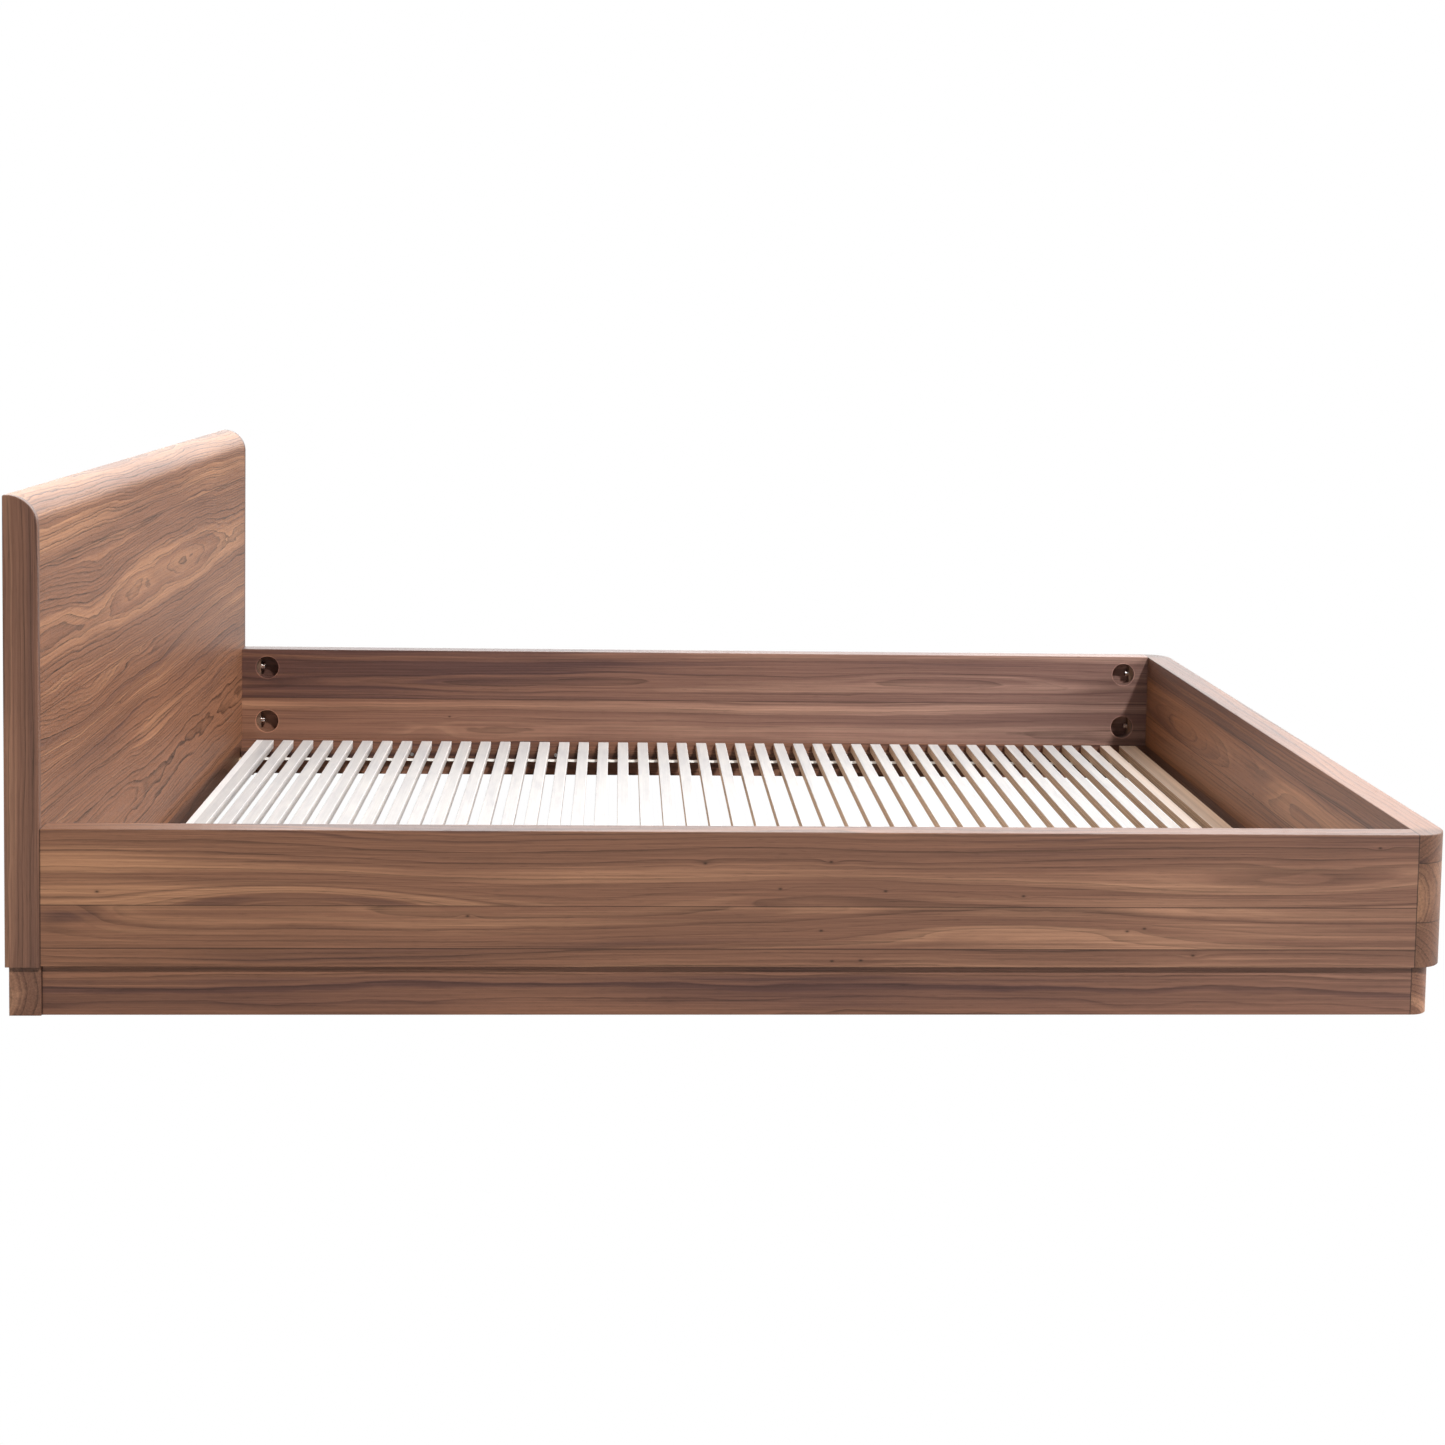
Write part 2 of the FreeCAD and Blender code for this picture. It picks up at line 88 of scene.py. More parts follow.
SLAT_NODES = sorted(
    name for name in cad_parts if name.startswith("slats_") or name.endswith("_end_slat")
)
STRAP_NODES = ("left_slat_strap", "right_slat_strap")


# ------------------------------------------------------------------ settings

class WalnutSettings(bpy.types.PropertyGroup):
    dark: bpy.props.FloatVectorProperty(
        name="Dark streak", description="Colour of the dark, purplish bands",
        subtype="COLOR", size=3, min=0, max=1, default=(0.106, 0.049, 0.038),
    )
    mid: bpy.props.FloatVectorProperty(
        name="Ground", description="Colour of most of the timber",
        subtype="COLOR", size=3, min=0, max=1, default=(0.230, 0.108, 0.067),
    )
    pale: bpy.props.FloatVectorProperty(
        name="Pale streak", description="Colour of the light bands between the dark ones",
        subtype="COLOR", size=3, min=0, max=1, default=(0.405, 0.208, 0.124),
    )
    ring_spacing: bpy.props.FloatProperty(
        name="Ring spacing", description="Mean width of one year's growth",
        subtype="DISTANCE", unit="LENGTH", default=0.0078, min=0.001, max=0.02,
    )
    drift: bpy.props.FloatProperty(
        name="Ring drift", description="How far the rings wander along a board",
        subtype="DISTANCE", unit="LENGTH", default=0.052, min=0.0, max=0.2,
    )
    seam_half_width: bpy.props.FloatProperty(
        name="Seam half width", description="Half the width of a glued seam's dark line",
        subtype="DISTANCE", unit="LENGTH", default=0.0010, min=0.0, max=0.003,
    )
    roughness: bpy.props.FloatProperty(
        name="Roughness", description="Roughness of the oiled surface",
        subtype="FACTOR", default=0.42, min=0, max=1,
    )


class SlatSettings(bpy.types.PropertyGroup):
    ground: bpy.props.FloatVectorProperty(
        name="Ground", description="Colour of the pale slat timber",
        subtype="COLOR", size=3, min=0, max=1, default=(0.800, 0.535, 0.345),
    )
    grain: bpy.props.FloatVectorProperty(
        name="Grain", description="Colour of the slats' grain lines",
        subtype="COLOR", size=3, min=0, max=1, default=(0.530, 0.320, 0.185),
    )
    # Painted highlight: the next two colours whiten the slats' upper and foot-side faces as if
    # strongly lit
    painted_highlight: bpy.props.FloatVectorProperty(
        name="Bleached face", description="Colour of the slats' pale upper and foot-side faces",
        subtype="COLOR", size=3, min=0, max=1, default=(0.620, 0.600, 0.580),
    )
    greyer_highlight: bpy.props.FloatVectorProperty(
        name="Washed patches", description="Colour of the greyer patches on the upper faces",
        subtype="COLOR", size=3, min=0, max=1, default=(0.520, 0.510, 0.512),
    )
    # Painted shade: from this place on, the painted highlight fades out where the footboard's
    # shadow lies on the slats
    highlight_fades_from: bpy.props.FloatProperty(
        name="Bare from", description="Place along the bed where the bleached faces fade out",
        subtype="DISTANCE", unit="LENGTH", default=0.87, min=-1.1, max=1.1,
    )
    ply: bpy.props.FloatProperty(
        name="Ply", description="Thickness of one ply of a slat",
        subtype="DISTANCE", unit="LENGTH", default=0.0030, min=0.001, max=0.01,
    )
    roughness: bpy.props.FloatProperty(
        name="Roughness", description="Roughness of the sanded timber",
        subtype="FACTOR", default=0.55, min=0, max=1,
    )


class WebbingSettings(bpy.types.PropertyGroup):
    colour: bpy.props.FloatVectorProperty(
        name="Colour", description="Colour of the cotton webbing",
        subtype="COLOR", size=3, min=0, max=1, default=(0.86, 0.84, 0.79),
    )
    sag: bpy.props.FloatProperty(
        name="Sag", description="How far the webbing hangs between two slats",
        subtype="DISTANCE", unit="LENGTH", default=0.0006, min=0.0, max=0.005,
    )
    thickness: bpy.props.FloatProperty(
        name="Thickness", description="Thickness of the webbing",
        subtype="DISTANCE", unit="LENGTH", default=0.0011, min=0.0005, max=0.003,
    )
    thread: bpy.props.FloatProperty(
        name="Thread", description="Width of one thread of the webbing",
        subtype="DISTANCE", unit="LENGTH", default=0.0012, min=0.0004, max=0.004,
    )
    staple_width: bpy.props.FloatProperty(
        name="Staple width", description="Length of a staple's crown",
        subtype="DISTANCE", unit="LENGTH", default=0.0110, min=0.004, max=0.02,
    )


class StageSettings(bpy.types.PropertyGroup):
    key_strength: bpy.props.FloatProperty(
        name="Key light", description="Strength of the high light from the left and the foot end",
        default=2.9, min=0, max=20,
    )
    top_strength: bpy.props.FloatProperty(
        name="Top light", description="Power of the wide light overhead",
        unit="POWER", default=42.0, min=0, max=5000,
    )
    foot_strength: bpy.props.FloatProperty(
        name="Foot light", description="Power of the wide light beyond the foot end",
        unit="POWER", default=150.0, min=0, max=5000,
    )
    fill_strength: bpy.props.FloatProperty(
        name="Fill", description="Strength of the white surroundings",
        default=0.26, min=0, max=5,
    )
    wall_strength: bpy.props.FloatProperty(
        name="Back wall", description="Strength of the white wall beyond the right side",
        default=3.4, min=0, max=5,
    )
    key_softness: bpy.props.FloatProperty(
        name="Key softness", description="Angle that the key light fills",
        subtype="ANGLE", unit="ROTATION", default=math.radians(4.0), min=0, max=1.5,
    )


# ------------------------------------------------------------- shader helpers

class Nodes:
    """Short ways to add nodes to one node tree."""

    def __init__(self, tree):
        self.tree = tree

    def add(self, kind, values, output=0, **settings):
        """Adds a node: values maps inputs to numbers or to other nodes' outputs."""
        node = self.tree.nodes.new(kind)
        for key, value in settings.items():
            setattr(node, key, value)
        for key, value in values.items():
            self.feed(node.inputs[key], value)
        return node.outputs[output]

    def feed(self, socket, value):
        """Links a socket to another node's output, or sets it to a plain value."""
        if isinstance(value, bpy.types.NodeSocket):
            self.tree.links.new(value, socket)
        else:
            socket.default_value = value

    def math(self, operation, first, second=0.0, third=0.0):
        return self.add(
            "ShaderNodeMath", {0: first, 1: second, 2: third}, operation=operation
        )

    def scaled(self, value, factor, offset=0.0):
        return self.math("MULTIPLY_ADD", value, factor, offset)

    def total(self, *values):
        result = values[0]
        for value in values[1:]:
            result = self.math("ADD", result, value)
        return result

    def join(self, x, y, z):
        return self.add("ShaderNodeCombineXYZ", {0: x, 1: y, 2: z})

    def split(self, vector):
        node = self.add("ShaderNodeSeparateXYZ", {0: vector}).node
        return node.outputs[0], node.outputs[1], node.outputs[2]

    def place(self):
        """The point's X, Y and Z in the bed's frame, in metres."""
        return self.split(self.add("ShaderNodeTexCoord", {}, output=3))

    def times(self, first, second):
        """Multiplies two vectors or colours, part by part."""
        return self.add(
            "ShaderNodeVectorMath", {0: first, 1: second}, operation="MULTIPLY"
        )

    def noise(self, vector, scale, detail=2.0, roughness=0.5):
        """Smooth noise about 0, with its own scale along each axis, per metre."""
        value = self.add("ShaderNodeTexNoise", {
            "Vector": self.times(vector, scale), "Scale": 1.0, "Detail": detail,
            "Roughness": roughness,
        })
        return self.math("SUBTRACT", value, 0.5)

    def noise_along(self, value, scale, detail=2.0):
        """Smooth noise about 0 along one number."""
        result = self.add(
            "ShaderNodeTexNoise", {"W": value, "Scale": scale, "Detail": detail},
            noise_dimensions="1D",
        )
        return self.math("SUBTRACT", result, 0.5)

    def lot(self, number):
        """Three random numbers from 0 to 1 that belong to one number."""
        colour = self.add(
            "ShaderNodeTexWhiteNoise", {"W": number}, output=1, noise_dimensions="1D"
        )
        return self.split(colour)

    def band(self, value, start, end, low=0.0, high=1.0):
        """low up to start, high from end on, and a straight run between."""
        return self.add(
            "ShaderNodeMapRange", {0: value, 1: start, 2: end, 3: low, 4: high}
        )

    def ramp(self, factor, stops):
        node = self.add("ShaderNodeValToRGB", {0: factor}).node
        elements = node.color_ramp.elements
        while len(elements) < len(stops):
            elements.new(0.5)
        for element, (position, colour) in zip(elements, stops):
            element.position = position
            element.color = (*colour, 1.0)
        return node.outputs[0]

    def mix(self, factor, first, second):
        """Mixes two colours by factor."""
        return self.add(
            "ShaderNodeMix", {0: factor, 6: first, 7: second}, output=2, data_type="RGBA"
        )

    def shade(self, colour, amount):
        """Multiplies a colour by a grey amount."""
        return self.times(colour, self.join(amount, amount, amount))


class Finish(Nodes):
    """One material and short ways to add nodes to it."""

    def __init__(self, name):
        self.material = bpy.data.materials.new(name)
        self.material.use_nodes = True
        super().__init__(self.material.node_tree)
        self.shader = self.tree.nodes["Principled BSDF"]

    def bump(self, height, distance, strength=1.0):
        normal = self.add(
            "ShaderNodeBump", {"Height": height, "Distance": distance, "Strength": strength}
        )
        self.tree.links.new(normal, self.shader.inputs["Normal"])

    def set(self, **sockets):
        """Feeds the shader: names as in the shader, with _ for a space."""
        for key, value in sockets.items():
            self.feed(self.shader.inputs[key.replace("_", " ")], value)


def dress(node_name, material):
    """Gives a CAD node one material over its whole surface."""
    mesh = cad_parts[node_name].data
    mesh.materials.clear()
    mesh.materials.append(material)


# ------------------------------------------------------------------- timber

# Where to find the axis along the fibres, the one across them and the one through the board
GRAIN_AXES = {"X": (0, 2, 1), "Y": (1, 2, 0), "Z": (2, 0, 1)}

# How often noise repeats for each metre along, across and through the grain
WANDER = (1.0, 4.2, 4.2)
WAVER = (4.4, 21.0, 21.0)
JITTER = (26.0, 130.0, 130.0)
STREAKS = (0.8, 42.0, 42.0)
CLOUDS = (1.9, 8.0, 8.0)
HAIR = (3.0, 330.0, 330.0)
FIBRE = (9.0, 900.0, 900.0)
PORES = (40.0, 1300.0, 1300.0)

# How far apart two boards are read in the noise, in metres along, across and through
BOARDS_APART = (9.0, 5.0, 3.0)

# How often noise along the rings repeats for each ring
BROAD_BANDS = 0.19
NARROW_BANDS = 0.85
LINE_CHANGES = 0.61

# How far the rings are pushed, in metres, besides the drift that the settings hold
HEART_SHIFT = 0.05
WAVER_REACH = 0.012
JITTER_REACH = 0.0016
PIN_LIFT = 0.0045

# How much each thing changes the tone, from dark at 0 to pale at 1
BROAD_TONE = 2.1
NARROW_TONE = 0.55
STREAK_TONE = 0.85
CLOUD_TONE = 0.70

# The dark end of a year: how late it comes, where it stops short of the next, the noise
# from its faintest to its strongest, and how dark the faintest is
LATE_POWER = 2.4
LATE_STOP = 0.93
LATE_NOISE = (-0.12, 0.30)
LATE_FAINTEST = 0.06

# The noise from no pore to a whole one
PORE_NOISE = (0.12, 0.22)

# Half the length and half the width of marks on a board, in metres
PIN_RIPPLE = (0.016, 0.006)
PIN_CORE = (0.0030, 0.0017)

# Half the widths of lines and bands on a board, in metres
POCKET_RIM = 0.0014
BORED_DEPTH = 0.0030
END_GRAIN = 0.050

# How much each thing changes the brightness, as a share of it
HAIR_SHADE = 0.90
FIBRE_SHADE = 0.60
LATE_DARKENS = 0.80
PIN_DARKENS = 0.80
PORES_DARKEN = 0.22
SEAM_DARKENS = 0.60
JOINT_DARKENS = 0.70
RIM_BRIGHTENS = 0.70
CLEAR_TIMBER = 1.01
DARKEST_TIMBER = 0.05

# How much fibres and pores roughen the surface
FIBRE_ROUGHENS = 0.16
PORES_ROUGHEN = 0.12

# Change of red and of blue for each step of warmth
WARM_RED = 0.05
WARM_BLUE = -0.12


class Board:
    """What tells one glued-up panel from another.

    Lengths are in metres. In figures, stains, pins and pockets a place is (along the
    grain, across it). figures and stains also give half their length, half their width, by
    how much the rings swell or the tone changes, and which of the glued boards they are on.
    """

    seams = ()          # places across the grain where boards are glued together
    centres = (0.15,)   # place across the grain of the tree's heart behind each board
    seed = 0.0          # picks the noise
    spacing = 1.0       # ring spacing, against the one in the settings
    depth = 0.055       # least distance of the heart from the show face
    drift = 1.6         # how far the rings wander, against the drift in the settings
    waviness = 1.0      # how much the rings wave
    bands = 1.0         # how strong the broad colour bands are
    lines = 1.0         # how strong the dark line of each year is
    tone = 0.5          # mean place on the way from dark to pale
    # The change of tone for each glued board is its own tone, and on the top boards of the
    # headboard and footboard partly painted light and shade
    tones_and_light = (0.0,)      # change of tone for each glued board
    # A panel's light is partly its own tone and partly painted light and shade, for how much
    # light reaches it
    light = 1.0         # brightness of the whole panel
    gloss = 0.45        # specular level of the oil
    warmth = 0.0        # warmth of the colour at 0 along the grain
    cooling = 0.0       # change of warmth for each metre along the grain
    figures = ()        # places where the rings swell into an oval
    stains_and_shade = ()         # darker or paler patches
    pins = ()           # pin knots
    ends = ()           # places of joints across the grain
    thirsty = ()        # places of end grain, and how far it darkens
    pockets = ()        # middles of bored bolt pockets

    def __init__(self, grain, face, **changes):
        """grain is the axis along the fibres, and face the place of the show face."""
        self.grain = grain
        self.face = face
        for name, value in changes.items():
            if not hasattr(self, name):
                raise AttributeError("a board has no " + name)
            setattr(self, name, value)


BOARDS = {
    "headboard_panel": Board(
        "Y", HEADBOARD_HIGH[0], seams=(0.445, 0.662), centres=(0.20, 0.56, 0.80), seed=3.0,
        gloss=0.28, warmth=1.1, light=0.95, spacing=0.66, depth=0.022, drift=1.1,
        # Painted sheen, in part: the top board's paler tone makes the headboard's top rounding
        # look lit from above
        waviness=1.9, bands=0.60, lines=1.7, tone=0.57, tones_and_light=(-0.02, 0.0, 0.22),
        figures=(
            (-0.48, 0.598, 0.17, 0.050, 0.022, 1),
            (0.155, 0.555, 0.13, 0.045, -0.012, 1),
            (0.656, 0.560, 0.20, 0.050, 0.010, 1),
            (-0.55, 0.410, 0.25, 0.050, 0.024, 0),
            (-0.030, 0.405, 0.22, 0.035, 0.022, 0),
        ),
        stains_and_shade=(
            (-0.03, 0.41, 0.20, 0.04, -0.25, 0), (-0.55, 0.30, 0.30, 0.03, -0.20, 0),
            (0.10, 0.54, 0.80, 0.06, 0.14, 1),
        ),
        pins=((-0.193, 0.437), (-0.33, 0.372)),
    ),
    "headboard_lipping_left": Board(
        "Z", HEADBOARD_LOW[1], centres=(HEADBOARD_LOW[0] - 0.03,), seed=11.0, light=0.76,
        spacing=0.7, tone=0.42,
    ),
    "headboard_lipping_right": Board(
        "Z", HEADBOARD_HIGH[1], centres=(HEADBOARD_LOW[0] - 0.03,), seed=12.0, light=0.76,
        spacing=0.7, tone=0.42,
    ),
    "footboard_panel": Board(
        "Y", FOOTBOARD_LOW[0], seams=(0.145, 0.236), centres=(0.05, 0.19, 0.33), seed=21.0,
        warmth=1.6, cooling=1.2, light=1.06, gloss=0.50, spacing=0.80, depth=0.022,
        # Painted shade, in part: the top board's darker tone makes the footboard's top face look
        # dim
        drift=1.1, bands=0.6, tones_and_light=(-0.02, -0.02, -0.30),
        thirsty=((FOOTBOARD_LOW[1], 0.42), (FOOTBOARD_HIGH[1], 0.42)),
        # Painted light and shade: the footboard's inner face is paler toward the near end, where
        # more light reaches it, and darker toward the far end
        stains_and_shade=(
            (-0.62, 0.19, 0.34, 0.10, 0.45, 1), (-0.62, 0.28, 0.34, 0.05, 0.40, 2),
            (0.60, 0.19, 0.35, 0.10, -0.22, 1), (0.60, 0.28, 0.35, 0.05, -0.22, 2),
        ),
        figures=(
            (0.448, 0.173, 0.18, 0.040, -0.034, 1),
            (-0.016, 0.186, 0.17, 0.034, 0.022, 1),
        ),
        pins=((-0.014, 0.151),),
    ),
    "left_side_rail": Board(
        "X", LEFT_RAIL_LOW[1], seams=(0.103, 0.167), centres=(0.02, 0.16, 0.16), seed=31.0,
        ends=(HEAD_X, FOOT_X), drift=1.3, depth=0.013, bands=0.95, light=0.87, warmth=0.3,
        cooling=-0.7, tones_and_light=(-0.04, -0.02, 0.0),
        figures=(
            (-0.638, 0.160, 0.200, 0.042, -0.052, 2),
            (0.10, 0.185, 0.24, 0.022, -0.018, 2),
            (0.82, 0.20, 0.26, 0.024, 0.034, 2),
            (0.42, 0.130, 0.20, 0.018, 0.024, 1),
            (-1.00, 0.150, 0.06, 0.020, 0.016, 1),
        ),
        stains_and_shade=(
            (-0.64, 0.165, 0.10, 0.022, 0.30, 2), (-0.96, 0.22, 0.20, 0.06, 0.22, 2),
            (-0.98, 0.150, 0.05, 0.014, -0.35, 1),
        ),
        pins=(
            (-0.053, 0.232), (0.134, 0.235), (0.059, 0.194), (0.216, 0.191),
            (0.121, 0.131), (0.138, 0.085), (0.181, 0.086), (0.423, 0.184),
            (0.581, 0.131), (0.607, 0.135), (0.682, 0.094), (0.962, 0.259),
            (-0.940, 0.187), (-0.402, 0.152),
        ),
        pockets=POCKETS,
    ),
    "right_side_rail": Board(
        "X", -LEFT_RAIL_HIGH[1], seams=(0.170,), centres=(0.10, 0.225), seed=41.0,
        light=0.87, drift=0.8, depth=0.015, warmth=-1.3, cooling=-1.5, tones_and_light=(0.12, 0.04),
        figures=(
            (-0.198, 0.222, 0.14, 0.020, -0.012, 1),
            (-0.459, 0.211, 0.26, 0.020, -0.012, 1),
            (0.52, 0.222, 0.20, 0.022, -0.014, 1),
            (-0.601, 0.095, 0.05, 0.016, 0.010, 0),
        ),
        stains_and_shade=((-0.80, 0.225, 0.62, 0.09, -0.85, 1), (-0.95, 0.12, 0.30, 0.08, -0.25, 0)),
        pins=((-0.561, 0.130),), pockets=POCKETS,
    ),
    "plinth_left": Board(
        "X", LEFT_PLINTH_LOW[1], centres=(-0.02,), seed=51.0, bands=0.7, spacing=0.6,
        cooling=-0.8, depth=0.09, drift=0.6, ends=(HEAD_X, FOOT_X), tone=0.42,
    ),
    "plinth_right": Board(
        "X", -LEFT_PLINTH_HIGH[1], centres=(-0.02,), seed=52.0, bands=0.7, spacing=0.6,
        drift=0.6,
    ),
    "plinth_head": Board(
        "Y", HEADBOARD_HIGH[0], centres=(0.02,), seed=53.0, warmth=0.2, light=0.72,
    ),
    "plinth_foot": Board(
        "Y", FOOTBOARD_HIGH[0], centres=(0.0,), seed=54.0, light=0.80, spacing=0.7,
    ),
    # Painted shade: the ledgers' low light darkens them as they sit in the shade under the slats'
    # ends
    "left_slat_ledger": Board(
        "X", LEFT_PLINTH_HIGH[1], centres=(0.0,), seed=55.0, light=0.65, spacing=0.6,
    ),
    "right_slat_ledger": Board(
        "X", -LEFT_PLINTH_HIGH[1], centres=(0.0,), seed=56.0, light=0.65, spacing=0.6,
    ),
}


def hill(finish, along, across, at, size):
    """A smooth hill, 1 at its middle and near 0 beyond its size."""
    east = finish.math("DIVIDE", finish.math("SUBTRACT", along, at[0]), size[0])
    north = finish.math("DIVIDE", finish.math("SUBTRACT", across, at[1]), size[1])
    squares = finish.math("MULTIPLY_ADD", east, east, finish.math("MULTIPLY", north, north))
    return finish.math("EXPONENT", finish.math("MULTIPLY", squares, -1.0))


def line_at(finish, value, place, half_width):
    """1 on a narrow line where value passes a place, and 0 off it."""
    distance = finish.math("ABSOLUTE", finish.math("SUBTRACT", value, place))
    return finish.math("SUBTRACT", 1.0, finish.band(distance, half_width * 0.5, half_width))


def own_board(finish, board, across):
    """The number of the glued board that a point is in, its heart's place and its tone."""
    number = board.seed
    centre = board.centres[0]
    tone = board.tones_and_light[0]
    for index, seam in enumerate(board.seams):
        over = finish.math("GREATER_THAN", across, seam)
        number = finish.math("ADD", over, number)
        centre = finish.scaled(over, board.centres[index + 1] - board.centres[index], centre)
        tone = finish.scaled(over, board.tones_and_light[index + 1] - board.tones_and_light[index], tone)
    return number, centre, tone


def with_patches(finish, board, patches, number, along, across, value):
    """Adds each patch's change to a value, on the patch's own board only."""
    for east, north, length, height, change, index in patches:
        patch = hill(finish, along, across, (east, north), (length, height))
        own = finish.math("COMPARE", number, board.seed + index, 0.25)
        value = finish.scaled(finish.math("MULTIPLY", patch, own), change, value)
    return value


def heart_distance(finish, board, settings, lots, centre, along, across, through, shifted):
    """The wavy distance of a point from the heart of the tree, before figures and knots."""
    second, third = lots[1], lots[2]
    aside = finish.total(
        finish.math("SUBTRACT", across, centre),
        finish.math("MULTIPLY", finish.math("SUBTRACT", second, 0.5), HEART_SHIFT),
    )
    behind = finish.math(
        "ADD",
        finish.math("SUBTRACT", through, board.face),
        finish.scaled(third, board.depth, board.depth),
    )
    distance = finish.math("SQRT", finish.math(
        "MULTIPLY_ADD", aside, aside, finish.math("MULTIPLY", behind, behind)
    ))
    wander = finish.noise(shifted, WANDER, detail=1.0)
    waver = finish.noise(shifted, WAVER, detail=2.0)
    jitter = finish.noise(shifted, JITTER, detail=2.0)
    return finish.total(
        distance,
        finish.math("MULTIPLY", wander, settings.drift * board.drift),
        finish.math("MULTIPLY", waver, WAVER_REACH * board.waviness),
        finish.math("MULTIPLY", jitter, JITTER_REACH * board.waviness),
    )


def pocket_rims(finish, board, along, across, through, shade):
    """The eased rim of a bored pocket is paler: partly freshly cut timber, partly a painted
    highlight.
    """
    for east, north in board.pockets:
        away = finish.join(
            finish.math("SUBTRACT", along, east), finish.math("SUBTRACT", across, north), 0.0
        )
        distance = finish.add(
            "ShaderNodeVectorMath", {0: away}, output=1, operation="LENGTH"
        )
        rim = line_at(finish, distance, POCKET_RADIUS + 0.0004, POCKET_RIM)
        inner = finish.math("ABSOLUTE", through)
        bored = line_at(finish, inner, RAIL_INNER_FACE, BORED_DEPTH)
        shade = finish.scaled(finish.math("MULTIPLY", rim, bored), RIM_BRIGHTENS, shade)
    return shade


def crossed_lines(finish, board, settings, along, across, shade):
    """Darkens the glued seams and the joints at a panel's ends."""
    for seam in board.seams:
        line = line_at(finish, across, seam, settings.seam_half_width)
        shade = finish.math("MULTIPLY", shade, finish.scaled(line, -SEAM_DARKENS, 1.0))
    for end in board.ends:
        line = line_at(finish, along, end, settings.seam_half_width * 2)
        shade = finish.math("MULTIPLY", shade, finish.scaled(line, -JOINT_DARKENS, 1.0))
    return shade


def walnut(name, board, settings):
    """Oiled walnut whose rings run through the whole thickness of the board."""
    finish = Finish(name)
    point = finish.place()
    along, across, through = (point[index] for index in GRAIN_AXES[board.grain])
    number, centre, own_tone = own_board(finish, board, across)
    lots = finish.lot(number)

    # Noise is read from a different part of space for each board
    shifted = finish.join(*(
        finish.scaled(lot, apart, place)
        for lot, apart, place in zip(lots, BOARDS_APART, (along, across, through))
    ))
    radius = heart_distance(
        finish, board, settings, lots, centre, along, across, through, shifted
    )
    radius = with_patches(finish, board, board.figures, number, along, across, radius)
    knots = None
    for pin in board.pins:
        ripple = hill(finish, along, across, pin, PIN_RIPPLE)
        radius = finish.scaled(ripple, PIN_LIFT, radius)
        core = hill(finish, along, across, pin, PIN_CORE)
        knots = core if knots is None else finish.math("MAXIMUM", knots, core)
    rings = finish.math("DIVIDE", radius, settings.ring_spacing * board.spacing)

    # Broad colour bands follow the rings
    broad = finish.noise_along(rings, BROAD_BANDS, detail=2.0)
    narrow = finish.noise_along(rings, NARROW_BANDS, detail=1.0)
    streaks = finish.noise(shifted, STREAKS, detail=3.0)
    clouds = finish.noise(shifted, CLOUDS, detail=1.0)
    tone = finish.total(
        finish.scaled(broad, BROAD_TONE * board.bands, board.tone),
        finish.scaled(narrow, NARROW_TONE * board.bands),
        finish.scaled(streaks, STREAK_TONE * board.bands),
        finish.scaled(clouds, CLOUD_TONE),
        own_tone,
    )
    tone = with_patches(finish, board, board.stains_and_shade, number, along, across, tone)
    colour = finish.ramp(tone, [
        (0.06, settings.dark), (0.40, settings.mid), (0.62, settings.mid),
        (0.97, settings.pale),
    ])

    # Each year darkens to a sharp edge, some years more than others
    year = finish.math("FRACT", rings)
    late = finish.math(
        "MULTIPLY", finish.math("POWER", year, LATE_POWER), finish.band(year, 1.0, LATE_STOP)
    )
    strength = finish.band(finish.noise_along(rings, LINE_CHANGES, detail=1.0), *LATE_NOISE)
    depth = finish.scaled(
        strength, -LATE_DARKENS * board.lines, -LATE_FAINTEST * board.lines
    )
    hair = finish.noise(shifted, HAIR, detail=2.0, roughness=0.6)
    fibre = finish.noise(shifted, FIBRE, detail=3.0, roughness=0.65)
    pores = finish.band(finish.noise(shifted, PORES, detail=1.0), *PORE_NOISE)
    shade = finish.total(
        finish.math("MULTIPLY_ADD", late, depth, CLEAR_TIMBER),
        finish.math("MULTIPLY", hair, HAIR_SHADE),
        finish.math("MULTIPLY", fibre, FIBRE_SHADE),
        finish.math("MULTIPLY", pores, -PORES_DARKEN),
    )
    if knots is not None:
        shade = finish.math("MULTIPLY", shade, finish.scaled(knots, -PIN_DARKENS, 1.0))
    shade = pocket_rims(finish, board, along, across, through, shade)
    shade = crossed_lines(finish, board, settings, along, across, shade)
    for face, amount in board.thirsty:
        # End grain drinks more oil and so is darker
        thirst = line_at(finish, along, face, END_GRAIN)
        shade = finish.math("MULTIPLY", shade, finish.scaled(thirst, -amount, 1.0))
    shade = finish.math("MULTIPLY", finish.math("MAXIMUM", shade, DARKEST_TIMBER), board.light)

    warmth = finish.scaled(along, board.cooling, board.warmth)
    tint = finish.join(
        finish.scaled(warmth, WARM_RED, 1.0), 1.0, finish.scaled(warmth, WARM_BLUE, 1.0)
    )
    colour = finish.times(finish.shade(colour, shade), tint)
    rough = finish.total(
        settings.roughness,
        finish.math("MULTIPLY", fibre, FIBRE_ROUGHENS),
        finish.math("MULTIPLY", pores, PORES_ROUGHEN),
    )
    finish.set(Base_Color=colour, Roughness=rough, IOR=1.45, Specular_IOR_Level=board.gloss)
    finish.bump(
        finish.scaled(pores, -0.6, finish.total(fibre, hair)), distance=0.00025, strength=0.6
    )
    return finish.material


# How often noise on the slats repeats for each metre along X, Y and Z
SLAT_LINES = (420.0, 3.0, 420.0)
SLAT_BANDS = (80.0, 1.3, 80.0)
SLAT_WASH = (45.0, 9.0, 45.0)

# How far apart two slats are read in the noise, in metres along X and Y
SLATS_APART = (7.0, 9.0)

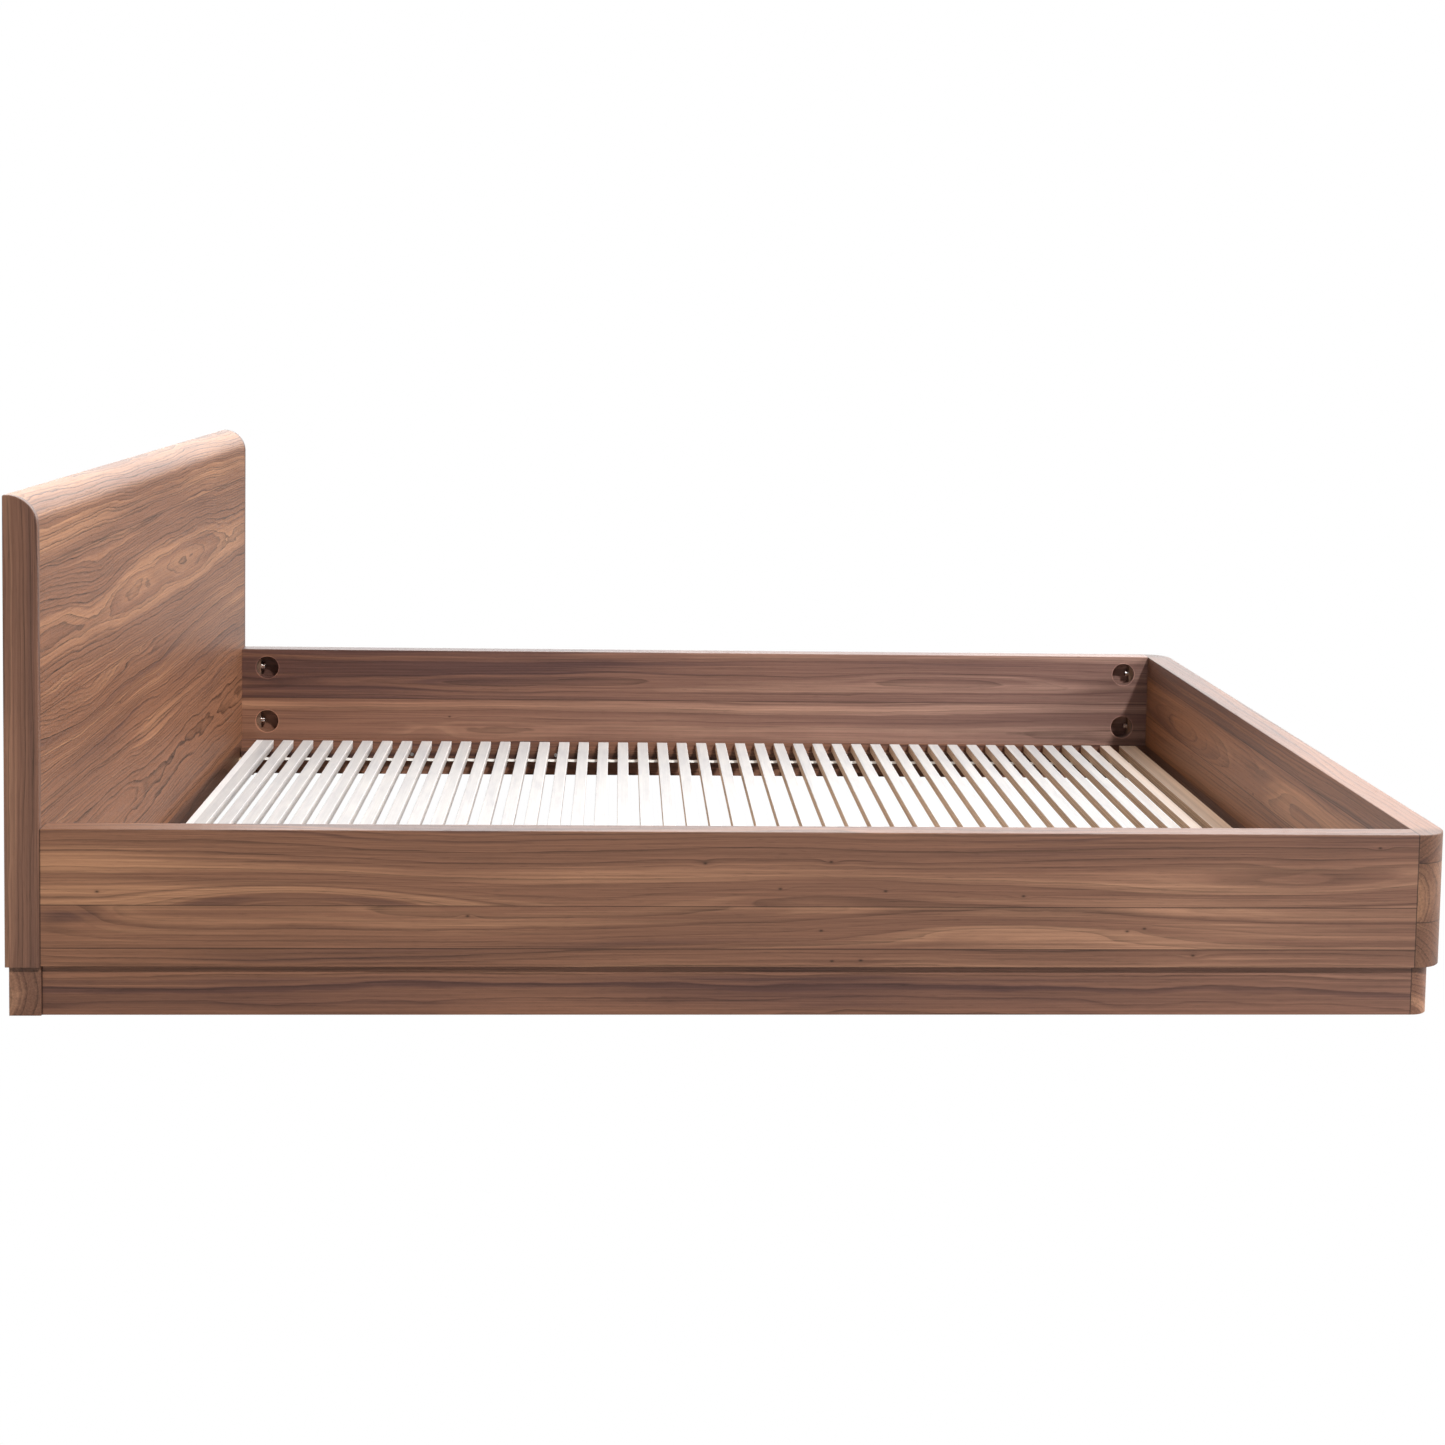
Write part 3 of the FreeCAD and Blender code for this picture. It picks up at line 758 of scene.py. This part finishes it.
# Half of a glue line, as a share of a ply, and how much glue and a crossed ply darken
GLUE_HALF = 0.09
GLUE_DARKENS = 0.42
CROSSED_DARKENS = 0.36

# How far below a slat's top its plies begin to show and its painted highlight starts and ends
PLIES_BELOW = 0.0018
HIGHLIGHT_STARTS = 0.0016
HIGHLIGHT_ENDS = 0.0006

# How the painted highlight brightens on the slats' foot sides and for each metre toward the foot
FOOT_SIDE_BRIGHTENS = 0.38
FOOT_END_BRIGHTENS = 0.10

# How long the painted highlight takes to fade out, in metres, and how much of it fades
FADING_LENGTH = 0.12
FADING = 0.9


def slat_sides(finish, z, ply_thickness):
    """Brightness of a slat's sides: dark glue lines, and every other ply end on."""
    height = finish.math("DIVIDE", z, ply_thickness)
    ply = finish.math("SUBTRACT", finish.math("FRACT", height), 0.5)
    glue = finish.math("LESS_THAN", finish.math("ABSOLUTE", ply), GLUE_HALF)
    layer = finish.math("FLOOR", height)
    odd = finish.math("FRACT", finish.math("MULTIPLY", layer, 0.5))
    crossed = finish.math("MULTIPLY", odd, CROSSED_DARKENS)
    side = finish.total(
        1.0,
        finish.math("MULTIPLY", glue, -GLUE_DARKENS),
        finish.math("MULTIPLY", crossed, -1.0),
    )
    inside = finish.math("LESS_THAN", z, SLAT_TOP - PLIES_BELOW)
    return finish.math("MULTIPLY_ADD", finish.math("SUBTRACT", side, 1.0), inside, 1.0)


def pale_timber(name, settings):
    """Slats of thin plies: a painted highlight above and toward the foot, bare on the other
    sides.
    """
    finish = Finish(name)
    x, y, z = finish.place()
    number = finish.math("FLOOR", finish.math("DIVIDE", x, SLAT_PITCH))
    first, second, third = finish.lot(number)
    shifted = finish.join(
        finish.scaled(first, SLATS_APART[0], x), finish.scaled(second, SLATS_APART[1], y), z
    )
    lines = finish.noise(shifted, SLAT_LINES, detail=3.0, roughness=0.6)
    bands = finish.noise(shifted, SLAT_BANDS, detail=2.0)
    wash = finish.noise(shifted, SLAT_WASH, detail=4.0, roughness=0.6)
    tone = finish.total(
        finish.scaled(lines, 1.3, 0.30),
        bands,
        finish.math("MULTIPLY", finish.math("SUBTRACT", third, 0.5), 0.25),
    )
    bare = finish.ramp(tone, [(0.15, settings.ground), (0.85, settings.grain)])
    bare = finish.shade(bare, slat_sides(finish, z, settings.ply))

    # Painted highlight: the upper faces and the foot sides are whitened as if strongly lit,
    # greyer in patches and brighter toward the foot
    pale = finish.ramp(
        finish.scaled(wash, 1.6, 0.5), [(0.25, settings.painted_highlight), (0.85, settings.greyer_highlight)]
    )
    pale = finish.shade(pale, finish.total(
        1.0,
        finish.math("MULTIPLY", lines, 0.20),
        finish.math("MULTIPLY", finish.math("SUBTRACT", first, 0.5), 0.06),
        finish.math("MULTIPLY", x, FOOT_END_BRIGHTENS),
    ))
    from_first = finish.math("ADD", x, -FIRST_SLAT_EDGE)
    across = finish.math("FRACT", finish.math("DIVIDE", from_first, SLAT_PITCH))
    foot_side = finish.math("GREATER_THAN", across, FOOT_SIDE_FROM / SLAT_PITCH)
    pale = finish.shade(pale, finish.scaled(foot_side, FOOT_SIDE_BRIGHTENS, 1.0))
    upper = finish.band(z, SLAT_TOP - HIGHLIGHT_STARTS, SLAT_TOP - HIGHLIGHT_ENDS)
    # The painted highlight fades out toward the foot end, where the footboard's shadow lies on
    # the slats
    fading = finish.band(x, settings.highlight_fades_from, settings.highlight_fades_from + FADING_LENGTH)
    painted_highlight = finish.math(
        "MULTIPLY",
        finish.math("MAXIMUM", upper, foot_side),
        finish.scaled(fading, -FADING, 1.0),
    )
    colour = finish.mix(painted_highlight, bare, pale)
    finish.set(Base_Color=colour, Roughness=settings.roughness, Specular_IOR_Level=0.3)
    finish.bump(lines, distance=0.0002, strength=0.5)
    return finish.material


def plain_timber(name, ground, grain, axis):
    """Planed softwood or beech that is out of sight in the finished bed."""
    finish = Finish(name)
    vector = finish.join(*finish.place())
    scale = [90.0, 90.0, 90.0]
    scale["XYZ".index(axis)] = 2.5
    fine = [number * 6.0 for number in scale]
    rings = finish.noise(vector, scale, detail=3.0)
    fibre = finish.noise(vector, fine, detail=2.0)
    tone = finish.total(finish.scaled(rings, 2.0, 0.5), finish.math("MULTIPLY", fibre, 0.5))
    colour = finish.ramp(tone, [(0.2, ground), (0.8, grain)])
    finish.set(Base_Color=colour, Roughness=0.6)
    finish.bump(fibre, distance=0.0003, strength=0.6)
    return finish.material


# -------------------------------------------------------- metal, cloth, rubber

# How often the marks on metal repeat for each metre along X, Y and Z
TURNED_MARKS = (60.0, 900.0, 900.0)
ROLLED_MARKS = (400.0, 400.0, 40.0)
DRAWN_MARKS = (400.0, 400.0, 400.0)


def metal(name, colour, roughness, brushed):
    """Plated or turned metal: fine marks along the turning, a little mottling."""
    finish = Finish(name)
    vector = finish.join(*finish.place())
    marks = finish.noise(vector, brushed, detail=3.0, roughness=0.7)
    mottle = finish.noise(vector, (130.0, 130.0, 130.0), detail=3.0)
    fine = finish.math("MULTIPLY", marks, 0.15)
    tone = finish.total(1.0, finish.math("MULTIPLY", mottle, 0.35), fine)
    base = finish.shade(
        finish.add("ShaderNodeCombineColor", dict(enumerate(colour))), tone
    )
    rough = finish.total(roughness, finish.math("MULTIPLY", mottle, 0.25), fine)
    finish.set(Base_Color=base, Metallic=1.0, Roughness=rough)
    finish.bump(marks, distance=0.0001, strength=0.4)
    return finish.material


def webbing_cloth(name, settings):
    """Plain-woven cotton tape: threads over and under, a little fluff."""
    finish = Finish(name)
    x, y, z = finish.place()
    turn = math.pi / settings.thread
    warp = finish.math("SINE", finish.math("MULTIPLY", x, turn))
    weft = finish.math("SINE", finish.math("MULTIPLY", y, turn))
    over = finish.math("MULTIPLY", warp, weft)
    fluff = finish.noise(finish.join(x, y, z), (900.0, 900.0, 900.0), detail=2.0)
    tone = finish.total(
        0.93, finish.math("MULTIPLY", over, 0.09), finish.math("MULTIPLY", fluff, 0.2)
    )
    colour = finish.shade(
        finish.add("ShaderNodeCombineColor", dict(enumerate(settings.colour))), tone
    )
    finish.set(Base_Color=colour, Roughness=0.85, Sheen_Weight=0.25)
    finish.bump(finish.total(over, fluff), distance=0.0003, strength=0.8)
    return finish.material


def moulded_plastic(name):
    """Black foot pads with the fine grain of a sparked mould."""
    finish = Finish(name)
    vector = finish.join(*finish.place())
    grain = finish.noise(vector, (1400.0, 1400.0, 1400.0), detail=2.0)
    scuffs = finish.noise(vector, (60.0, 60.0, 60.0), detail=4.0)
    colour = finish.ramp(
        finish.scaled(scuffs, 1.5, 0.5),
        [(0.2, (0.022, 0.022, 0.024)), (0.8, (0.055, 0.055, 0.058))],
    )
    rough = finish.scaled(scuffs, 0.3, 0.52)
    finish.set(Base_Color=colour, Roughness=rough)
    finish.bump(grain, distance=0.0002, strength=0.6)
    return finish.material


# ------------------------------------------------------------------ operators

def dress_boards(context, nodes):
    """Gives each board its own walnut."""
    for node in nodes:
        dress(node, walnut("walnut_" + node, BOARDS[node], context.scene.bed_walnut))


class BED_OT_headboard(bpy.types.Operator):
    """Oiled walnut on the headboard and the lippings at its two ends"""
    bl_idname = "bed.headboard"
    bl_label = "Headboard"

    def execute(self, context):
        dress_boards(context, (
            "headboard_panel", "headboard_lipping_left", "headboard_lipping_right",
        ))
        return {"FINISHED"}


class BED_OT_footboard(bpy.types.Operator):
    """Oiled walnut on the footboard"""
    bl_idname = "bed.footboard"
    bl_label = "Footboard"

    def execute(self, context):
        dress_boards(context, ("footboard_panel",))
        return {"FINISHED"}


class BED_OT_side_rails(bpy.types.Operator):
    """Oiled walnut on the two side rails"""
    bl_idname = "bed.side_rails"
    bl_label = "Side rails"

    def execute(self, context):
        dress_boards(context, ("left_side_rail", "right_side_rail"))
        return {"FINISHED"}


class BED_OT_plinth(bpy.types.Operator):
    """Oiled walnut on the four boards of the plinth"""
    bl_idname = "bed.plinth"
    bl_label = "Plinth"

    def execute(self, context):
        dress_boards(context, ("plinth_left", "plinth_right", "plinth_head", "plinth_foot"))
        return {"FINISHED"}


class BED_OT_ledgers(bpy.types.Operator):
    """Walnut on the two ledgers under the slats' ends"""
    bl_idname = "bed.ledgers"
    bl_label = "Slat ledgers"

    def execute(self, context):
        dress_boards(context, ("left_slat_ledger", "right_slat_ledger"))
        return {"FINISHED"}


class BED_OT_slats(bpy.types.Operator):
    """Pale sanded timber on all the slats"""
    bl_idname = "bed.slats"
    bl_label = "Slats"

    def execute(self, context):
        material = pale_timber("pale_slat_timber", context.scene.bed_slats)
        for node in SLAT_NODES:
            dress(node, material)
        return {"FINISHED"}


# Node, material, ground colour, grain colour and the axis along the fibres
HIDDEN_TIMBER = (
    ("centre_beam", "pine_along", (0.78, 0.62, 0.42), (0.62, 0.42, 0.24), "X"),
    ("corner_blocks", "pine_upright", (0.76, 0.60, 0.41), (0.60, 0.41, 0.24), "Z"),
    ("rail_dowels", "beech_level", (0.70, 0.50, 0.34), (0.58, 0.39, 0.25), "X"),
    ("plinth_dowels", "beech_upright", (0.70, 0.50, 0.34), (0.58, 0.39, 0.25), "Z"),
)


class BED_OT_hidden_timber(bpy.types.Operator):
    """Softwood beam and corner blocks, and beech dowels"""
    bl_idname = "bed.hidden_timber"
    bl_label = "Hidden timber"

    def execute(self, context):
        for node, name, ground, grain, axis in HIDDEN_TIMBER:
            dress(node, plain_timber(name, ground, grain, axis))
        return {"FINISHED"}


class BED_OT_hardware(bpy.types.Operator):
    """Bolts, washers, inserts, screws, hangers and levelling feet"""
    bl_idname = "bed.hardware"
    bl_label = "Hardware"

    def execute(self, context):
        bright = metal("bright_plated_steel", (0.86, 0.85, 0.84), 0.18, TURNED_MARKS)
        zinc = metal("zinc_plated_steel", (0.70, 0.71, 0.72), 0.36, ROLLED_MARKS)
        brass = metal("turned_brass", (0.80, 0.62, 0.32), 0.28, TURNED_MARKS)
        black = moulded_plastic("black_pad_plastic")
        # Painted shade: the washers get a dark brown metal so that they read as the shaded floor
        # of the bolt pockets
        pocket_shade_metal = metal("pocket_shade_steel", (0.34, 0.235, 0.175), 0.48, ROLLED_MARKS)
        dress("rail_bolts", bright)
        dress("rail_bolt_washers", pocket_shade_metal)
        for node in ("beam_hanger_head", "beam_hanger_foot",
                     "corner_block_screws", "ledger_screws", "hanger_screws"):
            dress(node, zinc)
        for node in ("rail_bolt_inserts", "leveller_inserts"):
            dress(node, brass)
        for number in (1, 2, 3):
            dress("leveller_stem_%d" % number, bright)
            dress("leveller_pad_%d" % number, black)
        return {"FINISHED"}


def settle(piece, name):
    """Names a piece and bakes its place into its mesh."""
    piece.name = name
    piece.data.name = name
    bpy.ops.object.select_all(action="DESELECT")
    piece.select_set(True)
    bpy.context.view_layer.objects.active = piece
    bpy.ops.object.transform_apply(location=True, rotation=True, scale=True)


def ease_edges(piece, width):
    """Rounds a piece's sharp edges and smooths its shading."""
    soften = piece.modifiers.new("eased_edges", "BEVEL")
    soften.width = width
    soften.segments = 2
    soften.limit_method = "ANGLE"
    bpy.ops.object.modifier_apply(modifier="eased_edges")
    bpy.ops.object.shade_smooth_by_angle(angle=math.radians(40))


def slat_spans():
    """(lowest X, highest X) of every single slat, from head to foot."""
    single_low, single_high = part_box("slats_22")
    width = single_high.x - single_low.x
    spans = []
    for node in SLAT_NODES:
        low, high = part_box(node)
        if node.startswith("slats_") and high.x - low.x > 1.5 * width:
            spans.append((low.x, low.x + width))
            spans.append((high.x - width, high.x))
        else:
            spans.append((low.x, high.x))
    return sorted(spans)


# Steps of a webbing from one slat to the next, as shares of the gap and of the sag
DIP = ((0.25, -0.7), (0.25, -0.3), (0.25, 0.3), (0.25, 0.7))

# Thickness of a staple's wire, in metres, and its bends, as shares of that thickness
STAPLE_WIRE = 0.0011
STAPLE_BENDS = ((0.6, 0.15), (0.4, 0.5))


class BED_OT_straps(bpy.types.Operator):
    """Two cotton webbings under the slats, stapled to each slat"""
    bl_idname = "bed.straps"
    bl_label = "Slat straps"

    def execute(self, context):
        settings = context.scene.bed_webbing
        cloth = webbing_cloth("cotton_webbing_weave", settings)
        wire = metal("staple_wire", (0.74, 0.74, 0.75), 0.30, DRAWN_MARKS)
        spans = slat_spans()
        for node in STRAP_NODES:
            low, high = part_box(node)
            strap = self.weave(node, low, high, spans, settings)
            strap.data.materials.append(cloth)
            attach(strap, "slat_deck")
            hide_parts(node)
            staples = self.staple_row(node, low, high, spans, settings)
            staples.data.materials.append(wire)
            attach(staples, "slat_deck")
        return {"FINISHED"}

    def weave(self, node, low, high, spans, settings):
        """A tape drawn out from the head end: flat on each slat, dipping between two."""
        bpy.ops.object.select_all(action="DESELECT")
        first_end = spans[0][1]
        bpy.ops.mesh.primitive_plane_add(size=1.0, location=(
            (low.x + first_end) / 2, (low.y + high.y) / 2, high.z,
        ))
        strap = bpy.context.object
        strap.scale = (first_end - low.x, high.y - low.y, 1.0)
        settle(strap, node.replace("slat_strap", "webbing"))
        steps = []
        for (_, end), (start, next_end) in zip(spans, spans[1:]):
            gap = start - end
            for along, dip in DIP:
                steps.append((gap * along, dip * settings.sag))
            steps.append((min(next_end, high.x) - start, 0.0))
        bpy.ops.object.mode_set(mode="EDIT")
        bpy.ops.mesh.select_mode(type="EDGE")
        self.select_foot_edge(strap)
        for run, rise in steps:
            bpy.ops.mesh.extrude_region_move(
                TRANSFORM_OT_translate={"value": (run, 0.0, rise)}
            )
        bpy.ops.object.mode_set(mode="OBJECT")
        thicken = strap.modifiers.new("thickness", "SOLIDIFY")
        thicken.thickness = settings.thickness
        thicken.offset = -1.0
        bpy.ops.object.modifier_apply(modifier="thickness")
        ease_edges(strap, settings.thickness * 0.3)
        return strap

    def select_foot_edge(self, strap):
        """Selects only the edge nearest the foot end."""
        bpy.ops.mesh.select_all(action="DESELECT")
        edit = bmesh.from_edit_mesh(strap.data)
        last = max(edit.edges, key=lambda edge: sum(vertex.co.x for vertex in edge.verts))
        last.select = True
        bmesh.update_edit_mesh(strap.data)

    def staple_row(self, node, low, high, spans, settings):
        """One staple under each slat, its crown across the tape."""
        first = self.staple(settings.staple_width)
        under = high.z - settings.thickness
        copies = []
        for start, end in spans:
            copy = first.copy()
            copy.data = first.data.copy()
            middle = (max(start, low.x) + min(end, high.x)) / 2
            copy.location = (middle, (low.y + high.y) / 2, under)
            bpy.context.collection.objects.link(copy)
            copies.append(copy)
        bpy.data.objects.remove(first)
        bpy.ops.object.select_all(action="DESELECT")
        for copy in copies:
            copy.select_set(True)
        bpy.context.view_layer.objects.active = copies[0]
        bpy.ops.object.join()
        row = bpy.context.object
        settle(row, node.replace("slat_strap", "staples"))
        return row

    def staple(self, width):
        """A flattened wire crown, its ends turned up into the tape."""
        wire = STAPLE_WIRE
        bpy.ops.object.select_all(action="DESELECT")
        bpy.ops.mesh.primitive_cube_add(size=1.0, location=(0.0, 0.0, -wire * 0.2))
        staple = bpy.context.object
        staple.scale = (wire, width - 2 * wire, wire * 0.5)
        settle(staple, "staple")
        bpy.ops.object.mode_set(mode="EDIT")
        bpy.ops.mesh.select_mode(type="FACE")
        for side in (-1, 1):
            for reach, rise in STAPLE_BENDS:
                self.select_end_face(staple, side)
                bpy.ops.mesh.extrude_region_move(
                    TRANSFORM_OT_translate={"value": (0.0, side * wire * reach, wire * rise)}
                )
        bpy.ops.object.mode_set(mode="OBJECT")
        ease_edges(staple, wire * 0.16)
        return staple

    def select_end_face(self, staple, side):
        """Selects only the face at one end of the wire."""
        bpy.ops.mesh.select_all(action="DESELECT")
        edit = bmesh.from_edit_mesh(staple.data)
        edit.faces.ensure_lookup_table()
        end = max(edit.faces, key=lambda face: side * face.calc_center_median().y)
        end.select = True
        bmesh.update_edit_mesh(staple.data)


WHITE = (1.0, 1.0, 1.0, 1.0)
FLOOR_SIZE = 16.0
FLOOR_GAP = 0.0005
FLOOR_COLOUR = (0.42, 0.41, 0.40, 1.0)

# The way that the key light shines
KEY_DIRECTION = (-0.30, 0.62, -0.72)

# Name, size, place and target of each flat light
TOP_LIGHT = ("top_light", (4.5, 3.5), (0.3, 0.3, 3.4), (0.3, 0.3, 0.0))
FOOT_LIGHT = ("foot_light", (2.4, 1.4), (4.2, -0.6, 1.7), (-1.0, 0.0, 0.6))

# How squarely a direction has to meet the back wall, and how high it has to point
WALL_FROM, WALL_TO = 0.3, 0.9
HORIZON_FROM, HORIZON_TO = 0.02, 0.12

CAMERA_PLACE = (-0.18861, -3.75732, 1.04237)
CAMERA_TURN = math.radians(2.92)
CAMERA_TILT = math.radians(3.82)
CAMERA_ROLL = math.radians(1.0)
CAMERA_LENS = 50.52
CAMERA_SENSOR = 36.0
CAMERA_SHIFT = -0.1888
CAMERA_REACH = 200.0


class BED_OT_stage(bpy.types.Operator):
    """Plain white floor, soft studio light and the camera"""
    bl_idname = "bed.stage"
    bl_label = "Studio stage"

    def execute(self, context):
        settings = context.scene.bed_stage
        self.lay_floor()
        self.paint_room(context, settings)
        self.hang_lights(context, settings)
        self.set_camera(context)
        context.scene.view_settings.view_transform = "Standard"
        return {"FINISHED"}

    def lay_floor(self):
        """A floor that is plain white to the camera and mid grey to the light it bounces."""
        bpy.ops.object.select_all(action="DESELECT")
        bpy.ops.mesh.primitive_plane_add(
            size=FLOOR_SIZE, location=(0.0, 0.0, BED_LOW.z - FLOOR_GAP)
        )
        floor = bpy.context.object
        floor.name = "floor"
        finish = Finish("white_floor")
        finish.set(Base_Color=FLOOR_COLOUR, Roughness=0.9)
        glow = finish.add("ShaderNodeEmission", {0: WHITE, 1: 1.0})
        seen = finish.add("ShaderNodeLightPath", {})
        mixed = finish.add(
            "ShaderNodeMixShader", {0: seen, 1: finish.shader.outputs[0], 2: glow}
        )
        finish.feed(finish.tree.nodes["Material Output"].inputs[0], mixed)
        floor.data.materials.append(finish.material)

    def paint_room(self, context, settings):
        """White surroundings, brighter beyond the bed's right side than elsewhere."""
        world = bpy.data.worlds.new("white_surroundings")
        context.scene.world = world
        world.use_nodes = True
        room = Nodes(world.node_tree)
        direction = room.add("ShaderNodeTexCoord", {})
        toward = room.add(
            "ShaderNodeVectorMath", {0: direction, 1: (0.0, 1.0, 0.0)}, output=1,
            operation="DOT_PRODUCT",
        )
        wall = room.band(
            toward, WALL_FROM, WALL_TO, settings.fill_strength, settings.wall_strength
        )
        height = room.split(direction)[2]
        above = room.band(
            height, HORIZON_FROM, HORIZON_TO, settings.fill_strength * 0.5, wall
        )
        seen = room.add("ShaderNodeLightPath", {})
        strength = room.add("ShaderNodeMix", {0: seen, 2: above, 3: 1.0})
        background = room.tree.nodes["Background"]
        room.feed(background.inputs[0], WHITE)
        room.feed(background.inputs[1], strength)

    def hang_lights(self, context, settings):
        """A sun for the key light, and two flat lights."""
        key = bpy.data.lights.new("key_light", "SUN")
        key.energy = settings.key_strength
        key.angle = settings.key_softness
        self.hang(context, key, (0.0, 0.0, 0.0), KEY_DIRECTION)
        for (name, size, place, target), power in (
            (TOP_LIGHT, settings.top_strength), (FOOT_LIGHT, settings.foot_strength),
        ):
            lamp = bpy.data.lights.new(name, "AREA")
            lamp.shape = "RECTANGLE"
            lamp.size, lamp.size_y = size
            lamp.energy = power
            self.hang(context, lamp, place, Vector(target) - Vector(place))

    def hang(self, context, lamp, place, direction):
        """Puts a lamp at its place, shining in a direction."""
        holder = bpy.data.objects.new(lamp.name, lamp)
        holder.location = place
        holder.rotation_mode = "QUATERNION"
        holder.rotation_quaternion = Vector(direction).to_track_quat("-Z", "Y")
        context.collection.objects.link(holder)

    def set_camera(self, context):
        """The camera stands before the left side, about a metre above the floor."""
        turn, tilt, roll = CAMERA_TURN, CAMERA_TILT, CAMERA_ROLL
        forward = Vector((
            math.sin(turn) * math.cos(tilt), math.cos(turn) * math.cos(tilt), -math.sin(tilt)
        ))
        level = Vector((math.cos(turn), -math.sin(turn), 0.0))
        upright = level.cross(forward)
        right = level * math.cos(roll) + upright * math.sin(roll)
        up = upright * math.cos(roll) - level * math.sin(roll)
        lens = bpy.data.cameras.new("camera")
        lens.sensor_width = CAMERA_SENSOR
        lens.lens = CAMERA_LENS
        lens.shift_y = CAMERA_SHIFT
        lens.clip_end = CAMERA_REACH
        camera = bpy.data.objects.new("camera", lens)
        camera.rotation_mode = "QUATERNION"
        camera.rotation_quaternion = Matrix((right, up, -forward)).transposed().to_quaternion()
        camera.location = CAMERA_PLACE
        context.collection.objects.link(camera)
        context.scene.camera = camera


class BED_PT_panel(bpy.types.Panel):
    """Lists the bed's pieces in the sidebar"""
    bl_label = "Platform bed"
    bl_idname = "BED_PT_panel"
    bl_space_type = "VIEW_3D"
    bl_region_type = "UI"
    bl_category = "Bed"

    def draw(self, context):
        for operator in PIECES:
            self.layout.operator(operator.bl_idname)
        for group in GROUPS:
            settings = getattr(context.scene, group)
            box = self.layout.box()
            for name in settings.__annotations__:
                box.prop(settings, name)


PIECES = (
    BED_OT_stage, BED_OT_headboard, BED_OT_footboard, BED_OT_side_rails, BED_OT_plinth,
    BED_OT_ledgers, BED_OT_slats, BED_OT_hidden_timber, BED_OT_hardware, BED_OT_straps,
)
GROUPS = {
    "bed_walnut": WalnutSettings,
    "bed_slats": SlatSettings,
    "bed_webbing": WebbingSettings,
    "bed_stage": StageSettings,
}


def register():
    for group in GROUPS.values():
        bpy.utils.register_class(group)
    for operator in PIECES:
        bpy.utils.register_class(operator)
    bpy.utils.register_class(BED_PT_panel)
    for name, group in GROUPS.items():
        setattr(bpy.types.Scene, name, bpy.props.PointerProperty(type=group))


def unregister():
    for name in GROUPS:
        delattr(bpy.types.Scene, name)
    bpy.utils.unregister_class(BED_PT_panel)
    for operator in reversed(PIECES):
        bpy.utils.unregister_class(operator)
    for group in reversed(list(GROUPS.values())):
        bpy.utils.unregister_class(group)


def main():
    register()
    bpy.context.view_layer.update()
    bpy.ops.bed.stage()
    bpy.ops.bed.headboard()
    bpy.ops.bed.footboard()
    bpy.ops.bed.side_rails()
    bpy.ops.bed.plinth()
    bpy.ops.bed.ledgers()
    bpy.ops.bed.slats()
    bpy.ops.bed.hidden_timber()
    bpy.ops.bed.hardware()
    bpy.ops.bed.straps()


if __name__ == "__main__":
    main()
